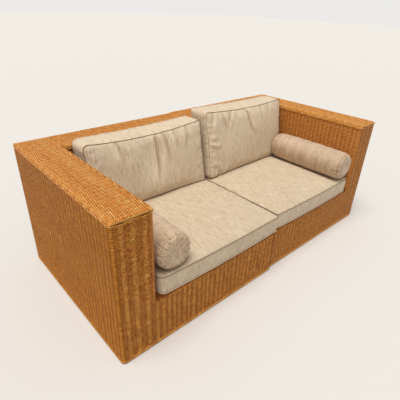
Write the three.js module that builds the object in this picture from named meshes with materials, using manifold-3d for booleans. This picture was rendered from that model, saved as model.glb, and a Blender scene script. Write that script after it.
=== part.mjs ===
// Rattan garden sofa: two one-arm modules standing side by side, each a woven box over a batten
// frame, with a boxed seat cushion, a boxed back cushion and a bolster.
// Millimetres, +X to the right as seen from the front, +Y to the rear, +Z up.
// The origin is on the floor, under the middle of the sofa.

import * as THREE from "three";
import { mergeVertices } from "three/addons/utils/BufferGeometryUtils.js";
import Module from "manifold-3d";

// Module sizes
const MODULE_WIDTH = 1048;
const MODULE_DEPTH = 1025;
const MODULE_GAP = 4;
const MODULE_SETBACK = 15;
const FRAME_HEIGHT = 760;
const BASE_HEIGHT = 280;
const ARM_WIDTH = 198;
const BACK_THICKNESS = 200;

// Woven skin
const WEAVE_THICKNESS = 6;
const EDGE_RADIUS = 18;
const CORNER_RADIUS = 20;
const SEAM_CORNER_RADIUS = 10;
const INNER_CORNER_RADIUS = 3;
const SMALLEST_RADIUS = 1;
const CAP_LIP = 26;
const SEAT_EDGE_RETURN = 48;
const CLEARANCE = 0.3;
const JOIN_OVERLAP = 1;

// Batten frame
const BATTEN = 32;
const TOP_BOARD = 18;
const FRONT_RUNG_COUNT = 5;
const END_RUNG_COUNT = 4;
const SEAT_RAIL_SHELF = 14;

// Slatted seat deck
const SLAT_THICKNESS = 14;
const SLAT_WIDTH = 68;
const SLAT_COUNT = 8;
const DECK_BATTEN_WIDTH = 40;
const DECK_BATTEN_HEIGHT = 20;
const DECK_BATTEN_COUNT = 2;

// Glides
const GLIDE_HEIGHT = 6;
const GLIDE_RADIUS = 14;
const GLIDE_FOOT_RADIUS = 12;

// Seat cushions
const SEAT_CUSHION_BOXING = 104;
const SEAT_CUSHION_CROWN = 15;
const SEAT_CUSHION_FRONT = 4;
const SEAT_CUSHION_REAR_GAP = 3;
const SEAT_CUSHION_CORNER = 34;
const SEAT_CUSHION_SEAM_CORNER = 12;
const SEAT_CUSHION_PULL_IN = 5;
const SEAT_CUSHION_SEAM_GAP = 6;
const LEFT_SEAT_CUSHION_OVERHANG = 22;
const LEFT_SEAT_CUSHION_GAP = 22;
const RIGHT_SEAT_CUSHION_GAP = 4;

// Back cushions
const LEFT_BACK_CUSHION_CORNER = 30;
const LEFT_BACK_CUSHION_SEAM_CORNER = 14;
const RIGHT_BACK_CUSHION_CORNER = 18;
const RIGHT_BACK_CUSHION_SEAM_CORNER = 18;
const BACK_CUSHION_CROWN = 20;
const BACK_CUSHION_REAR_CROWN = 6;
const BACK_CUSHION_PULL_IN = 7;
const LEFT_BACK_CUSHION_HEIGHT = 390;
const LEFT_BACK_CUSHION_BOXING = 138;
const LEFT_BACK_CUSHION_GAP = 40;
const LEFT_BACK_CUSHION_SEAM_GAP = 2;
const LEFT_BACK_CUSHION_REAR_GAP = 2;
const LEFT_BACK_CUSHION_LEAN = 76;
const LEFT_BACK_CUSHION_RISE = 0;
const LEFT_BACK_CUSHION_TURN = 0;
const RIGHT_BACK_CUSHION_HEIGHT = 423;
const RIGHT_BACK_CUSHION_BOXING = 158;
const RIGHT_BACK_CUSHION_GAP = 26;
const RIGHT_BACK_CUSHION_SEAM_GAP = 23;
const RIGHT_BACK_CUSHION_REAR_GAP = 5;
const RIGHT_BACK_CUSHION_LEAN = 76;
const RIGHT_BACK_CUSHION_RISE = 20;
const RIGHT_BACK_CUSHION_TURN = 18;

// Sewing shared by the boxed cushions
const PIPING_RADIUS = 3;
const BOXING_BULGE = 3;
const CUSHION_REST = 0.8;
const CROWN_POWER_SHARE = 2.8;

// Bolsters
const BOLSTER_REAR_GAP = 3;
const BOLSTER_END_TUCK = 12;
const BOLSTER_END_ROUND = 38;
const BOLSTER_REST = 0.6;
const LEFT_BOLSTER_RADIUS = 93;
const LEFT_BOLSTER_GAP = 21;
const LEFT_BOLSTER_FRONT = 4;
const RIGHT_BOLSTER_RADIUS = 97;
const RIGHT_BOLSTER_GAP = 1;
const RIGHT_BOLSTER_FRONT = 0;

// Steps used to draw the rounded shapes
const CORNER_STEPS = 4;
const EDGE_STEPS = 4;
const GLIDE_STEPS = 16;
const CUSHION_CORNER_STEPS = 3;
const CUSHION_SIDE_STEPS = 9;
const BOXING_STEPS = 3;
const BOLSTER_STEPS = 22;

// Worked out from the sizes above
const OVERALL_WIDTH = 2 * MODULE_WIDTH + MODULE_GAP;
const OVERALL_DEPTH = MODULE_DEPTH + MODULE_SETBACK;
const SKIN_BOTTOM = GLIDE_HEIGHT;
const FRAME_INSET = WEAVE_THICKNESS + CLEARANCE;
const FRAME_REACH = FRAME_INSET + BATTEN;
const LIP_BOTTOM = FRAME_HEIGHT - CAP_LIP;
const WALL_TOP = LIP_BOTTOM - CLEARANCE;
const BOARD_TOP = FRAME_HEIGHT - WEAVE_THICKNESS - CLEARANCE;
const POST_TOP = BOARD_TOP - TOP_BOARD - CLEARANCE;
const BACK_FACE = MODULE_DEPTH - BACK_THICKNESS;
const SEAT_WIDTH = MODULE_WIDTH - ARM_WIDTH;
const SEAT_CUSHION_DEPTH = BACK_FACE - SEAT_CUSHION_FRONT - SEAT_CUSHION_REAR_GAP;
const RIGHT_SEAT_CUSHION_INSET = LEFT_SEAT_CUSHION_OVERHANG - MODULE_GAP + SEAT_CUSHION_SEAM_GAP;
const POST_CORNER_RADIUS = CORNER_RADIUS - FRAME_INSET;
const SEAT_RAIL_TOP = BASE_HEIGHT - SLAT_THICKNESS - CLEARANCE;
const FRONT_RAIL_TOP = BASE_HEIGHT - WEAVE_THICKNESS - CLEARANCE;

const COLOURS = {
  weaveTop: { color: 0xcf8a48, roughness: 0.55, metalness: 0 },
  weaveOuter: { color: 0xaa7038, roughness: 0.6, metalness: 0 },
  weaveInner: { color: 0x9c6030, roughness: 0.6, metalness: 0 },
  hardwood: { color: 0xb08a5c, roughness: 0.7, metalness: 0 },
  plywood: { color: 0xc9a878, roughness: 0.75, metalness: 0 },
  glide: { color: 0x2b2724, roughness: 0.5, metalness: 0 },
  seatFabric: { color: 0xd9c6a8, roughness: 0.95, metalness: 0 },
  backFabric: { color: 0xcdb898, roughness: 0.95, metalness: 0 },
  bolsterFabric: { color: 0xc9b08e, roughness: 0.95, metalness: 0 },
};

const wasm = await Module();
wasm.setup();

// A copy of a geometry that holds positions only, with shared corners merged
function bare(geometry) {
  const copy = geometry.clone();
  copy.deleteAttribute("normal");
  copy.deleteAttribute("uv");
  return mergeVertices(copy);
}

function toSolid(geometry) {
  const merged = bare(geometry);
  return new wasm.Manifold(
    new wasm.Mesh({
      numProp: 3,
      vertProperties: new Float32Array(merged.attributes.position.array),
      triVerts: new Uint32Array(merged.index.array),
    }),
  );
}

function toGeometry(solid) {
  const mesh = solid.getMesh();
  const geometry = new THREE.BufferGeometry();
  geometry.setAttribute("position", new THREE.BufferAttribute(new Float32Array(mesh.vertProperties), 3));
  geometry.setIndex(new THREE.BufferAttribute(new Uint32Array(mesh.triVerts), 1));
  return geometry;
}

function join(geometries) {
  return toGeometry(geometries.map(toSolid).reduce((whole, next) => whole.add(next)));
}

function cut(geometry, tool) {
  return toGeometry(toSolid(geometry).subtract(toSolid(tool)));
}

function indexed(positions, triangles) {
  const geometry = new THREE.BufferGeometry();
  geometry.setAttribute("position", new THREE.Float32BufferAttribute(positions, 3));
  geometry.setIndex(triangles);
  return geometry;
}

// A rectangular piece between two corners
function block(x0, x1, y0, y1, z0, z1) {
  const box = new THREE.BoxGeometry(x1 - x0, y1 - y0, z1 - z0);
  box.translate((x0 + x1) / 2, (y0 + y1) / 2, (z0 + z1) / 2);
  return box;
}

// An upright piece with the given plan
function upright(plan, z0, z1) {
  const prism = new THREE.ExtrudeGeometry(new THREE.Shape(plan), { depth: z1 - z0, bevelEnabled: false });
  prism.translate(0, 0, z0);
  return prism;
}

// A piece that runs along X with the given side view, whose points hold y and z
function lengthwise(sideView, x0, x1) {
  const prism = new THREE.ExtrudeGeometry(new THREE.Shape(sideView), { depth: x1 - x0, bevelEnabled: false });
  const alongY = new THREE.Vector3(0, 1, 0);
  const alongZ = new THREE.Vector3(0, 0, 1);
  const alongX = new THREE.Vector3(1, 0, 0);
  prism.applyMatrix4(new THREE.Matrix4().makeBasis(alongY, alongZ, alongX));
  prism.translate(x0, 0, 0);
  return prism;
}

function direction(from, to) {
  return to.clone().sub(from).normalize();
}

// The arc that rounds one corner of a path
function roundedCorner(before, corner, after, radius) {
  const inward = direction(before, corner);
  const onward = direction(corner, after);
  const centre = corner.clone().addScaledVector(inward, -radius).addScaledVector(onward, radius);
  const points = [];
  for (let step = 0; step <= CORNER_STEPS; step += 1) {
    const turn = (step / CORNER_STEPS) * (Math.PI / 2);
    const point = centre.clone().addScaledVector(onward, -radius * Math.cos(turn));
    points.push(point.addScaledVector(inward, radius * Math.sin(turn)));
  }
  return points;
}

// An open path with its corners rounded
function roundedPath(corners, radius) {
  const last = corners.length - 1;
  const points = [corners[0]];
  for (let i = 1; i < last; i += 1) {
    points.push(...roundedCorner(corners[i - 1], corners[i], corners[i + 1], radius));
  }
  points.push(corners[last]);
  return points;
}

// The same path moved to its right by the given distance
function movedRight(corners, distance) {
  const toRight = (a, b) => new THREE.Vector2(direction(a, b).y, -direction(a, b).x);
  return corners.map((corner, i) => {
    const moved = corner.clone();
    if (i > 0) moved.addScaledVector(toRight(corners[i - 1], corner), distance);
    if (i < corners.length - 1) moved.addScaledVector(toRight(corner, corners[i + 1]), distance);
    return moved;
  });
}

// An upright woven wall whose plan follows a path, with the inside of the sofa on the path's right
function wovenWall(path, radius, z0, z1) {
  const corners = path.map(([x, y]) => new THREE.Vector2(x, y));
  const outside = roundedPath(corners, radius);
  const inside = roundedPath(movedRight(corners, WEAVE_THICKNESS), radius - WEAVE_THICKNESS);
  return upright([...outside, ...inside.reverse()], z0, z1);
}

// The L-shaped plan of the arm top and back top, drawn in on all sides by an inset
function topPlan(inset) {
  const armFace = ARM_WIDTH - inset;
  const backFace = BACK_FACE + inset;
  const seam = MODULE_WIDTH - inset;
  const rear = MODULE_DEPTH - inset;
  const outer = Math.max(CORNER_RADIUS - inset, SMALLEST_RADIUS);
  const atSeam = Math.max(SEAM_CORNER_RADIUS - inset, SMALLEST_RADIUS);
  const corners = [
    [inset, inset, outer],
    [armFace, inset, outer],
    [armFace, backFace, INNER_CORNER_RADIUS + inset],
    [seam, backFace, atSeam],
    [seam, rear, atSeam],
    [inset, rear, outer],
  ];
  const points = corners.map(([x, y]) => new THREE.Vector2(x, y));
  return corners.flatMap(([, , radius], i) => {
    const before = points[(i + corners.length - 1) % corners.length];
    return roundedCorner(before, points[i], points[(i + 1) % corners.length], radius);
  });
}

// A solid stacked from outlines that all have the same number of points
function stacked(levels) {
  const count = levels[0].outline.length;
  const positions = levels.flatMap(({ outline, z }) => outline.flatMap((point) => [point.x, point.y, z]));
  const triangles = [];
  for (let level = 0; level < levels.length - 1; level += 1) {
    for (let i = 0; i < count; i += 1) {
      const a = level * count + i;
      const b = level * count + ((i + 1) % count);
      triangles.push(a, b, b + count, a, b + count, a + count);
    }
  }
  const top = (levels.length - 1) * count;
  for (const [a, b, c] of THREE.ShapeUtils.triangulateShape(levels[0].outline, [])) {
    triangles.push(a, c, b);
  }
  for (const [a, b, c] of THREE.ShapeUtils.triangulateShape(levels[levels.length - 1].outline, [])) {
    triangles.push(top + a, top + b, top + c);
  }
  return indexed(positions, triangles);
}

// Levels of the cap's outside, or of its hollow, with the upper edge rounded
function capLevels(inset, bottom) {
  const radius = EDGE_RADIUS - inset;
  const levels = [{ outline: topPlan(inset), z: bottom }];
  for (let step = 0; step <= EDGE_STEPS; step += 1) {
    const turn = (step / EDGE_STEPS) * (Math.PI / 2);
    const drawnIn = inset + radius * (1 - Math.cos(turn));
    levels.push({ outline: topPlan(drawnIn), z: FRAME_HEIGHT - EDGE_RADIUS + radius * Math.sin(turn) });
  }
  return levels;
}

function topWeave() {
  const outside = stacked(capLevels(0, LIP_BOTTOM));
  const hollow = stacked(capLevels(WEAVE_THICKNESS, LIP_BOTTOM - JOIN_OVERLAP));
  return cut(outside, hollow);
}

function armOuterWeave() {
  const path = [
    [CORNER_RADIUS, 0],
    [0, 0],
    [0, MODULE_DEPTH],
    [CORNER_RADIUS, MODULE_DEPTH],
  ];
  return wovenWall(path, CORNER_RADIUS, SKIN_BOTTOM, WALL_TOP);
}

function armInnerWeave() {
  const path = [
    [ARM_WIDTH, BACK_FACE + WEAVE_THICKNESS],
    [ARM_WIDTH, 0],
    [ARM_WIDTH - CORNER_RADIUS, 0],
  ];
  return wovenWall(path, CORNER_RADIUS, BASE_HEIGHT + CLEARANCE, WALL_TOP);
}

// The front of the arm and of the base in one L, with the seat edge rolled over the front rail
function frontWeave() {
  const left = CORNER_RADIUS + CLEARANCE;
  const seam = MODULE_WIDTH - SEAM_CORNER_RADIUS - CLEARANCE;
  const seatLeft = ARM_WIDTH + CLEARANCE;
  const armPanel = block(left, ARM_WIDTH - left, 0, WEAVE_THICKNESS, SKIN_BOTTOM, WALL_TOP);
  const foot = block(left, seatLeft + JOIN_OVERLAP, 0, WEAVE_THICKNESS, SKIN_BOTTOM, BASE_HEIGHT);
  const edge = [
    [SEAT_EDGE_RETURN, BASE_HEIGHT],
    [0, BASE_HEIGHT],
    [0, SKIN_BOTTOM],
  ].map(([y, z]) => new THREE.Vector2(y, z));
  const underside = movedRight(edge, -WEAVE_THICKNESS);
  const outline = [
    ...roundedPath(edge, EDGE_RADIUS),
    ...roundedPath(underside, EDGE_RADIUS - WEAVE_THICKNESS).reverse(),
  ];
  return join([armPanel, foot, lengthwise(outline, seatLeft, seam)]);
}

function backOuterWeave() {
  const left = CORNER_RADIUS + CLEARANCE;
  const seam = MODULE_WIDTH - SEAM_CORNER_RADIUS - CLEARANCE;
  return block(left, seam, MODULE_DEPTH - WEAVE_THICKNESS, MODULE_DEPTH, SKIN_BOTTOM, WALL_TOP);
}

function backInnerWeave() {
  const left = ARM_WIDTH + CLEARANCE;
  const seam = MODULE_WIDTH - SEAM_CORNER_RADIUS - CLEARANCE;
  return block(left, seam, BACK_FACE, BACK_FACE + WEAVE_THICKNESS, BASE_HEIGHT + CLEARANCE, WALL_TOP);
}

// The side that faces the other module: the end of the back above, the side of the base below
function seamWeave() {
  const turn = MODULE_WIDTH - SEAM_CORNER_RADIUS;
  const wall = (front, z0, z1) =>
    wovenWall(
      [
        [turn, MODULE_DEPTH],
        [MODULE_WIDTH, MODULE_DEPTH],
        [MODULE_WIDTH, front],
        [turn, front],
      ],
      SEAM_CORNER_RADIUS,
      z0,
      z1,
    );
  return join([wall(0, SKIN_BOTTOM, BASE_HEIGHT), wall(BACK_FACE, BASE_HEIGHT - JOIN_OVERLAP, WALL_TOP)]);
}

// A post of the batten frame, its four long edges rounded so that it sits inside a woven corner
function post(x0, y0, z0, z1) {
  const corners = [
    [x0, y0],
    [x0 + BATTEN, y0],
    [x0 + BATTEN, y0 + BATTEN],
    [x0, y0 + BATTEN],
  ].map(([x, y]) => new THREE.Vector2(x, y));
  const plan = corners.flatMap((corner, i) =>
    roundedCorner(corners[(i + 3) % 4], corner, corners[(i + 1) % 4], POST_CORNER_RADIUS),
  );
  return upright(plan, z0, z1);
}

// Low edges of evenly spaced rungs, counted from the bottom of a ladder
function rungHeights(bottom, top, count) {
  const pitch = (top - BATTEN - bottom) / (count - 1);
  return Array.from({ length: count }, (_, i) => bottom + i * pitch);
}

function armFrontLadder() {
  const innerX = ARM_WIDTH - FRAME_REACH;
  const x0 = FRAME_REACH - BATTEN / 2;
  const x1 = innerX + BATTEN / 2;
  const rungs = rungHeights(SKIN_BOTTOM, POST_TOP, FRONT_RUNG_COUNT).map((z) =>
    block(x0, x1, FRAME_INSET + CLEARANCE, FRAME_REACH - CLEARANCE, z, z + BATTEN),
  );
  return join([
    post(FRAME_INSET, FRAME_INSET, SKIN_BOTTOM, POST_TOP),
    post(innerX, FRAME_INSET, SKIN_BOTTOM, POST_TOP),
    ...rungs,
  ]);
}

function backEndLadder() {
  const x0 = MODULE_WIDTH - FRAME_REACH;
  const frontY = BACK_FACE + FRAME_INSET;
  const rearY = MODULE_DEPTH - FRAME_REACH;
  const aboveRail = SKIN_BOTTOM + BATTEN + CLEARANCE;
  const rungs = rungHeights(aboveRail, POST_TOP, END_RUNG_COUNT + 1).slice(1);
  return join([
    post(x0, frontY, aboveRail, POST_TOP),
    post(x0, rearY, SKIN_BOTTOM, POST_TOP),
    ...rungs.map((z) =>
      block(x0 + CLEARANCE, x0 + BATTEN - CLEARANCE, frontY + BATTEN / 2, rearY + BATTEN / 2, z, z + BATTEN),
    ),
  ]);
}

function cornerOuterPost() {
  return post(FRAME_INSET, MODULE_DEPTH - FRAME_REACH, SKIN_BOTTOM, POST_TOP);
}

function cornerInnerPost() {
  return post(ARM_WIDTH - FRAME_REACH, BACK_FACE + FRAME_INSET, SKIN_BOTTOM, POST_TOP);
}

function seamFrontPost() {
  return post(MODULE_WIDTH - FRAME_REACH, FRAME_INSET, SKIN_BOTTOM, BASE_HEIGHT - EDGE_RADIUS);
}

// The front rail stands higher than the others, its upper front edge rounded to fit the seat edge
function seatRailFront(x0, x1) {
  const low = FRONT_RAIL_TOP - BATTEN;
  const [rearLow, rearTop, frontTop, frontLow] = [
    [FRAME_REACH, low],
    [FRAME_REACH, FRONT_RAIL_TOP],
    [FRAME_INSET, FRONT_RAIL_TOP],
    [FRAME_INSET, low],
  ].map(([y, z]) => new THREE.Vector2(y, z));
  const rounded = roundedCorner(rearTop, frontTop, frontLow, EDGE_RADIUS - FRAME_INSET);
  return lengthwise([rearLow, rearTop, ...rounded, frontLow], x0, x1);
}

// Rails of the base, resting on the same level as the posts
function bottomRails() {
  const low = SKIN_BOTTOM;
  const high = SKIN_BOTTOM + BATTEN;
  const afterPost = FRAME_REACH + CLEARANCE;
  const armPost = ARM_WIDTH - FRAME_INSET + CLEARANCE;
  const seamPost = MODULE_WIDTH - FRAME_REACH - CLEARANCE;
  const rearPost = MODULE_DEPTH - FRAME_REACH - CLEARANCE;
  const rearInset = MODULE_DEPTH - FRAME_INSET;
  const seamInset = MODULE_WIDTH - FRAME_INSET;
  return {
    bottom_rail_front: block(armPost, seamPost, FRAME_INSET, FRAME_REACH, low, high),
    bottom_rail_outer: block(FRAME_INSET, FRAME_REACH, afterPost, rearPost, low, high),
    bottom_rail_rear: block(afterPost, seamPost, rearInset - BATTEN, rearInset, low, high),
    bottom_rail_seam: block(seamInset - BATTEN, seamInset, afterPost, rearPost, low, high),
  };
}

// Rails that carry the slatted deck, and the higher front rail under the rolled seat edge
function seatRails() {
  const top = SEAT_RAIL_TOP;
  const low = SEAT_RAIL_TOP - BATTEN;
  const armShelf = ARM_WIDTH + SEAT_RAIL_SHELF;
  const rearShelf = BACK_FACE - SEAT_RAIL_SHELF;
  const afterPost = FRAME_REACH + CLEARANCE;
  const armPost = ARM_WIDTH - FRAME_INSET + CLEARANCE;
  const seamPost = MODULE_WIDTH - FRAME_REACH - CLEARANCE;
  const seamInset = MODULE_WIDTH - FRAME_INSET;
  const endPost = BACK_FACE + FRAME_INSET - CLEARANCE;
  return {
    seat_rail_front: seatRailFront(armPost, seamPost),
    seat_rail_arm: block(armShelf - BATTEN, armShelf, afterPost, rearShelf - CLEARANCE, low, top),
    seat_rail_rear: block(armPost, seamPost, rearShelf, rearShelf + BATTEN, low, top),
    seat_rail_seam: block(seamInset - BATTEN, seamInset, afterPost, endPost, low, top),
  };
}

function armTopBoard() {
  const far = ARM_WIDTH - EDGE_RADIUS;
  return block(EDGE_RADIUS, far, EDGE_RADIUS, MODULE_DEPTH - EDGE_RADIUS, BOARD_TOP - TOP_BOARD, BOARD_TOP);
}

function backTopBoard() {
  const near = ARM_WIDTH - EDGE_RADIUS + CLEARANCE;
  const front = BACK_FACE + EDGE_RADIUS;
  const rear = MODULE_DEPTH - EDGE_RADIUS;
  return block(near, MODULE_WIDTH - EDGE_RADIUS, front, rear, BOARD_TOP - TOP_BOARD, BOARD_TOP);
}

// Slats laid side to side on the arm and seam rails, fixed to lengthwise battens beneath
function seatSlatDeck() {
  const x0 = ARM_WIDTH + CLEARANCE;
  const x1 = MODULE_WIDTH - FRAME_INSET;
  const y0 = SEAT_EDGE_RETURN + CLEARANCE;
  const y1 = BACK_FACE - CLEARANCE;
  const slatBottom = BASE_HEIGHT - SLAT_THICKNESS;
  const pitch = (y1 - y0 - SLAT_WIDTH) / (SLAT_COUNT - 1);
  const pieces = [];
  for (let i = 0; i < SLAT_COUNT; i += 1) {
    const y = y0 + i * pitch;
    pieces.push(block(x0, x1, y, y + SLAT_WIDTH, slatBottom, BASE_HEIGHT));
  }
  const battenFront = FRAME_REACH + CLEARANCE;
  const battenRear = BACK_FACE - SEAT_RAIL_SHELF - CLEARANCE;
  for (let i = 1; i <= DECK_BATTEN_COUNT; i += 1) {
    const middle = x0 + ((x1 - x0) * i) / (DECK_BATTEN_COUNT + 1);
    const side = DECK_BATTEN_WIDTH / 2;
    const low = slatBottom - DECK_BATTEN_HEIGHT;
    pieces.push(block(middle - side, middle + side, battenFront, battenRear, low, slatBottom + JOIN_OVERLAP));
  }
  return join(pieces);
}

// Plastic glides under the posts that reach the floor
function glides() {
  const near = FRAME_INSET + BATTEN / 2;
  const seam = MODULE_WIDTH - near;
  const rear = MODULE_DEPTH - near;
  const places = {
    glide_front_outer: [near, near],
    glide_front_seam: [seam, near],
    glide_rear_outer: [near, rear],
    glide_rear_seam: [seam, rear],
  };
  const height = GLIDE_HEIGHT - CLEARANCE;
  const entries = Object.entries(places).map(([name, [x, y]]) => {
    const glide = new THREE.CylinderGeometry(GLIDE_RADIUS, GLIDE_FOOT_RADIUS, height, GLIDE_STEPS);
    glide.rotateX(Math.PI / 2);
    glide.translate(x, y, height / 2);
    return [name, glide];
  });
  return Object.fromEntries(entries);
}

// A rectangle with rounded corners whose sides draw in between the corners. Each point has its place
// and the outward direction there. drawIn holds front, right, rear and left, and radii the corner at
// the start of each of those sides.
function cushionRim(width, depth, radii, drawIn) {
  const halfWidth = width / 2;
  const halfDepth = depth / 2;
  const sides = [
    { from: [-halfWidth, -halfDepth], to: [halfWidth, -halfDepth], out: [0, -1] },
    { from: [halfWidth, -halfDepth], to: [halfWidth, halfDepth], out: [1, 0] },
    { from: [halfWidth, halfDepth], to: [-halfWidth, halfDepth], out: [0, 1] },
    { from: [-halfWidth, halfDepth], to: [-halfWidth, -halfDepth], out: [-1, 0] },
  ];
  const points = [];
  sides.forEach(({ from, to, out }, index) => {
    const start = new THREE.Vector2(...from);
    const end = new THREE.Vector2(...to);
    const along = direction(start, end);
    const outward = new THREE.Vector2(...out);
    const radius = radii[index];
    const straight = start.distanceTo(end) - radius - radii[(index + 1) % radii.length];
    const centre = start.clone().addScaledVector(along, radius).addScaledVector(outward, -radius);
    for (let step = 0; step < CUSHION_CORNER_STEPS; step += 1) {
      const turn = (step / CUSHION_CORNER_STEPS) * (Math.PI / 2);
      const normal = along.clone().multiplyScalar(-Math.cos(turn)).addScaledVector(outward, Math.sin(turn));
      points.push({ place: centre.clone().addScaledVector(normal, radius), normal });
    }
    for (let step = 0; step < CUSHION_SIDE_STEPS; step += 1) {
      const share = step / CUSHION_SIDE_STEPS;
      const inward = drawIn[index] * 4 * share * (1 - share);
      const place = start.clone().addScaledVector(along, radius + straight * share);
      points.push({ place: place.addScaledVector(outward, -inward), normal: outward.clone() });
    }
  });
  return points;
}

// How far a crown stands above the piping, at shares of the way from the middle to each side
function crownHeight(crown, shareX, shareY) {
  const fall = (share) => 1 - Math.min(Math.abs(share), 1) ** CROWN_POWER_SHARE;
  return crown * fall(shareX) * fall(shareY);
}

const TOP_RING_SHARES = [0.97, 0.9, 0.76, 0.55, 0.28];
const UNDER_RING_SHARES = [0.5, 0.95];

// A boxed cushion lying flat: underside, piping, boxing, piping and crowned top, as closed rings
function boxedCushion({ width, depth, boxing, crown, underCrown, corners, drawIn }) {
  const rim = cushionRim(width - 2 * PIPING_RADIUS, depth - 2 * PIPING_RADIUS, corners, drawIn);
  const rings = [];
  const piping = (z) => {
    rings.push({ share: 1, out: 0, z: z - PIPING_RADIUS, crown: 0 });
    rings.push({ share: 1, out: PIPING_RADIUS, z, crown: 0 });
    rings.push({ share: 1, out: 0, z: z + PIPING_RADIUS, crown: 0 });
  };
  for (const share of UNDER_RING_SHARES) {
    rings.push({ share, out: 0, z: 0, crown: -underCrown });
  }
  piping(2 * PIPING_RADIUS);
  for (let step = 1; step <= BOXING_STEPS; step += 1) {
    const share = step / (BOXING_STEPS + 1);
    const out = BOXING_BULGE * 4 * share * (1 - share) - BOXING_BULGE / 2;
    rings.push({ share: 1, out, z: boxing * share, crown: 0 });
  }
  piping(boxing - 2 * PIPING_RADIUS);
  for (const share of TOP_RING_SHARES) {
    rings.push({ share, out: 0, z: boxing, crown });
  }
  const count = rim.length;
  const positions = [];
  for (const ring of rings) {
    for (const { place, normal } of rim) {
      const x = place.x * ring.share + normal.x * ring.out;
      const y = place.y * ring.share + normal.y * ring.out;
      positions.push(x, y, ring.z + crownHeight(ring.crown, (2 * x) / width, (2 * y) / depth));
    }
  }
  const triangles = [];
  for (let ring = 0; ring < rings.length - 1; ring += 1) {
    for (let i = 0; i < count; i += 1) {
      const a = ring * count + i;
      const b = ring * count + ((i + 1) % count);
      triangles.push(a, b, b + count, a, b + count, a + count);
    }
  }
  const under = positions.length / 3;
  positions.push(0, 0, -underCrown, 0, 0, boxing + crown);
  const top = (rings.length - 1) * count;
  for (let i = 0; i < count; i += 1) {
    const next = (i + 1) % count;
    triangles.push(under, next, i, under + 1, top + i, top + next);
  }
  return indexed(positions, triangles);
}

const SEAT_TOP = BASE_HEIGHT + CLEARANCE + SEAT_CUSHION_BOXING;

function seatCushionMiddle(side) {
  return {
    x: ARM_WIDTH + side.seatGap + side.seatWidth / 2,
    y: SEAT_CUSHION_FRONT + SEAT_CUSHION_DEPTH / 2,
  };
}

function seatCushion(side) {
  const middle = seatCushionMiddle(side);
  const pull = SEAT_CUSHION_PULL_IN;
  const cushion = boxedCushion({
    width: side.seatWidth,
    depth: SEAT_CUSHION_DEPTH,
    boxing: SEAT_CUSHION_BOXING,
    crown: SEAT_CUSHION_CROWN,
    underCrown: 0,
    corners: [
      SEAT_CUSHION_CORNER,
      SEAT_CUSHION_SEAM_CORNER,
      SEAT_CUSHION_SEAM_CORNER,
      SEAT_CUSHION_CORNER,
    ],
    drawIn: [pull, pull, pull, pull],
  });
  cushion.translate(middle.x, middle.y, BASE_HEIGHT + CLEARANCE);
  return cushion;
}

// Height of the seat cushion's crowned top under a point of the module's plan
function seatSurface(side, x, y) {
  const middle = seatCushionMiddle(side);
  const shareX = (x - middle.x) / (side.seatWidth / 2);
  const shareY = (y - middle.y) / (SEAT_CUSHION_DEPTH / 2);
  return SEAT_TOP + crownHeight(SEAT_CUSHION_CROWN, shareX, shareY);
}

// Where a back cushion stands: the middle of its width, and its front at the foot
function backCushionPlace(side) {
  return {
    x: ARM_WIDTH + side.backGap + side.backWidth / 2,
    front: BACK_FACE - side.backRearGap - side.backLean - side.backBoxing,
  };
}

// A boxed cushion stood on the seat, its underside following the seat's crown, leaning to the rear
function backCushion(side) {
  const pull = BACK_CUSHION_PULL_IN;
  const place = backCushionPlace(side);
  const cushion = boxedCushion({
    width: side.backWidth,
    depth: side.backHeight,
    boxing: side.backBoxing,
    crown: BACK_CUSHION_CROWN,
    underCrown: BACK_CUSHION_REAR_CROWN,
    corners: [side.backCorner, side.backSeamCorner, side.backSeamCorner, side.backCorner],
    drawIn: [0, pull, pull, pull],
  });
  cushion.rotateX(Math.PI / 2);
  cushion.translate(place.x, place.front + side.backBoxing, side.backHeight / 2);
  const position = cushion.attributes.position;
  for (let i = 0; i < position.count; i += 1) {
    const x = position.getX(i);
    const up = position.getZ(i) / side.backHeight;
    const across = (x - place.x) / side.backWidth;
    const y = position.getY(i) + side.backLean * up - side.backTurn * across;
    const rest = seatSurface(side, x, y) + CUSHION_REST;
    const top = SEAT_TOP + SEAT_CUSHION_CROWN + side.backHeight + side.backRise * across;
    position.setY(i, y);
    position.setZ(i, rest + (top - rest) * up);
  }
  return cushion;
}

// Radius of a bolster at a distance from its end, as shares of the body's radius
const BOLSTER_END_SHARES = [
  { radius: 0.22, along: 0.45 },
  { radius: 0.5, along: 0 },
  { radius: 0.74, along: 0.04 },
  { radius: 0.9, along: 0.3 },
  { radius: 0.98, along: 0.7 },
  { radius: 1, along: 1.2 },
];

// How far back a bolster can reach before it meets the back cushion's crowned front
function bolsterRear(side, x) {
  const place = backCushionPlace(side);
  const nearX = x + side.bolsterRadius / 2;
  const up = side.bolsterRadius / 2 / side.backHeight;
  const across = (nearX - place.x) / side.backWidth;
  const crown = crownHeight(BACK_CUSHION_CROWN, 2 * across, 2 * up - 1);
  return place.front + side.backLean * up - side.backTurn * across - crown - BOLSTER_REAR_GAP;
}

function bolster(side) {
  const radius = side.bolsterRadius;
  const x = ARM_WIDTH + side.bolsterGap + radius;
  const half = (bolsterRear(side, x) - side.bolsterFront) / 2;
  const end = BOLSTER_END_SHARES.map((point) => ({
    r: radius * point.radius,
    y: half - BOLSTER_END_ROUND * point.along,
  }));
  const tuck = half - BOLSTER_END_ROUND / 2 - BOLSTER_END_TUCK;
  const profile = [
    new THREE.Vector2(0, -tuck),
    ...end.map(({ r, y }) => new THREE.Vector2(r, -y)),
    ...[...end].reverse().map(({ r, y }) => new THREE.Vector2(r, y)),
    new THREE.Vector2(0, tuck),
  ];
  const roll = new THREE.LatheGeometry(profile, BOLSTER_STEPS);
  const middleY = side.bolsterFront + half;
  const seat = seatSurface(side, x, middleY);
  roll.translate(x, middleY, seat + BOLSTER_REST + radius);
  return roll;
}

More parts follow.
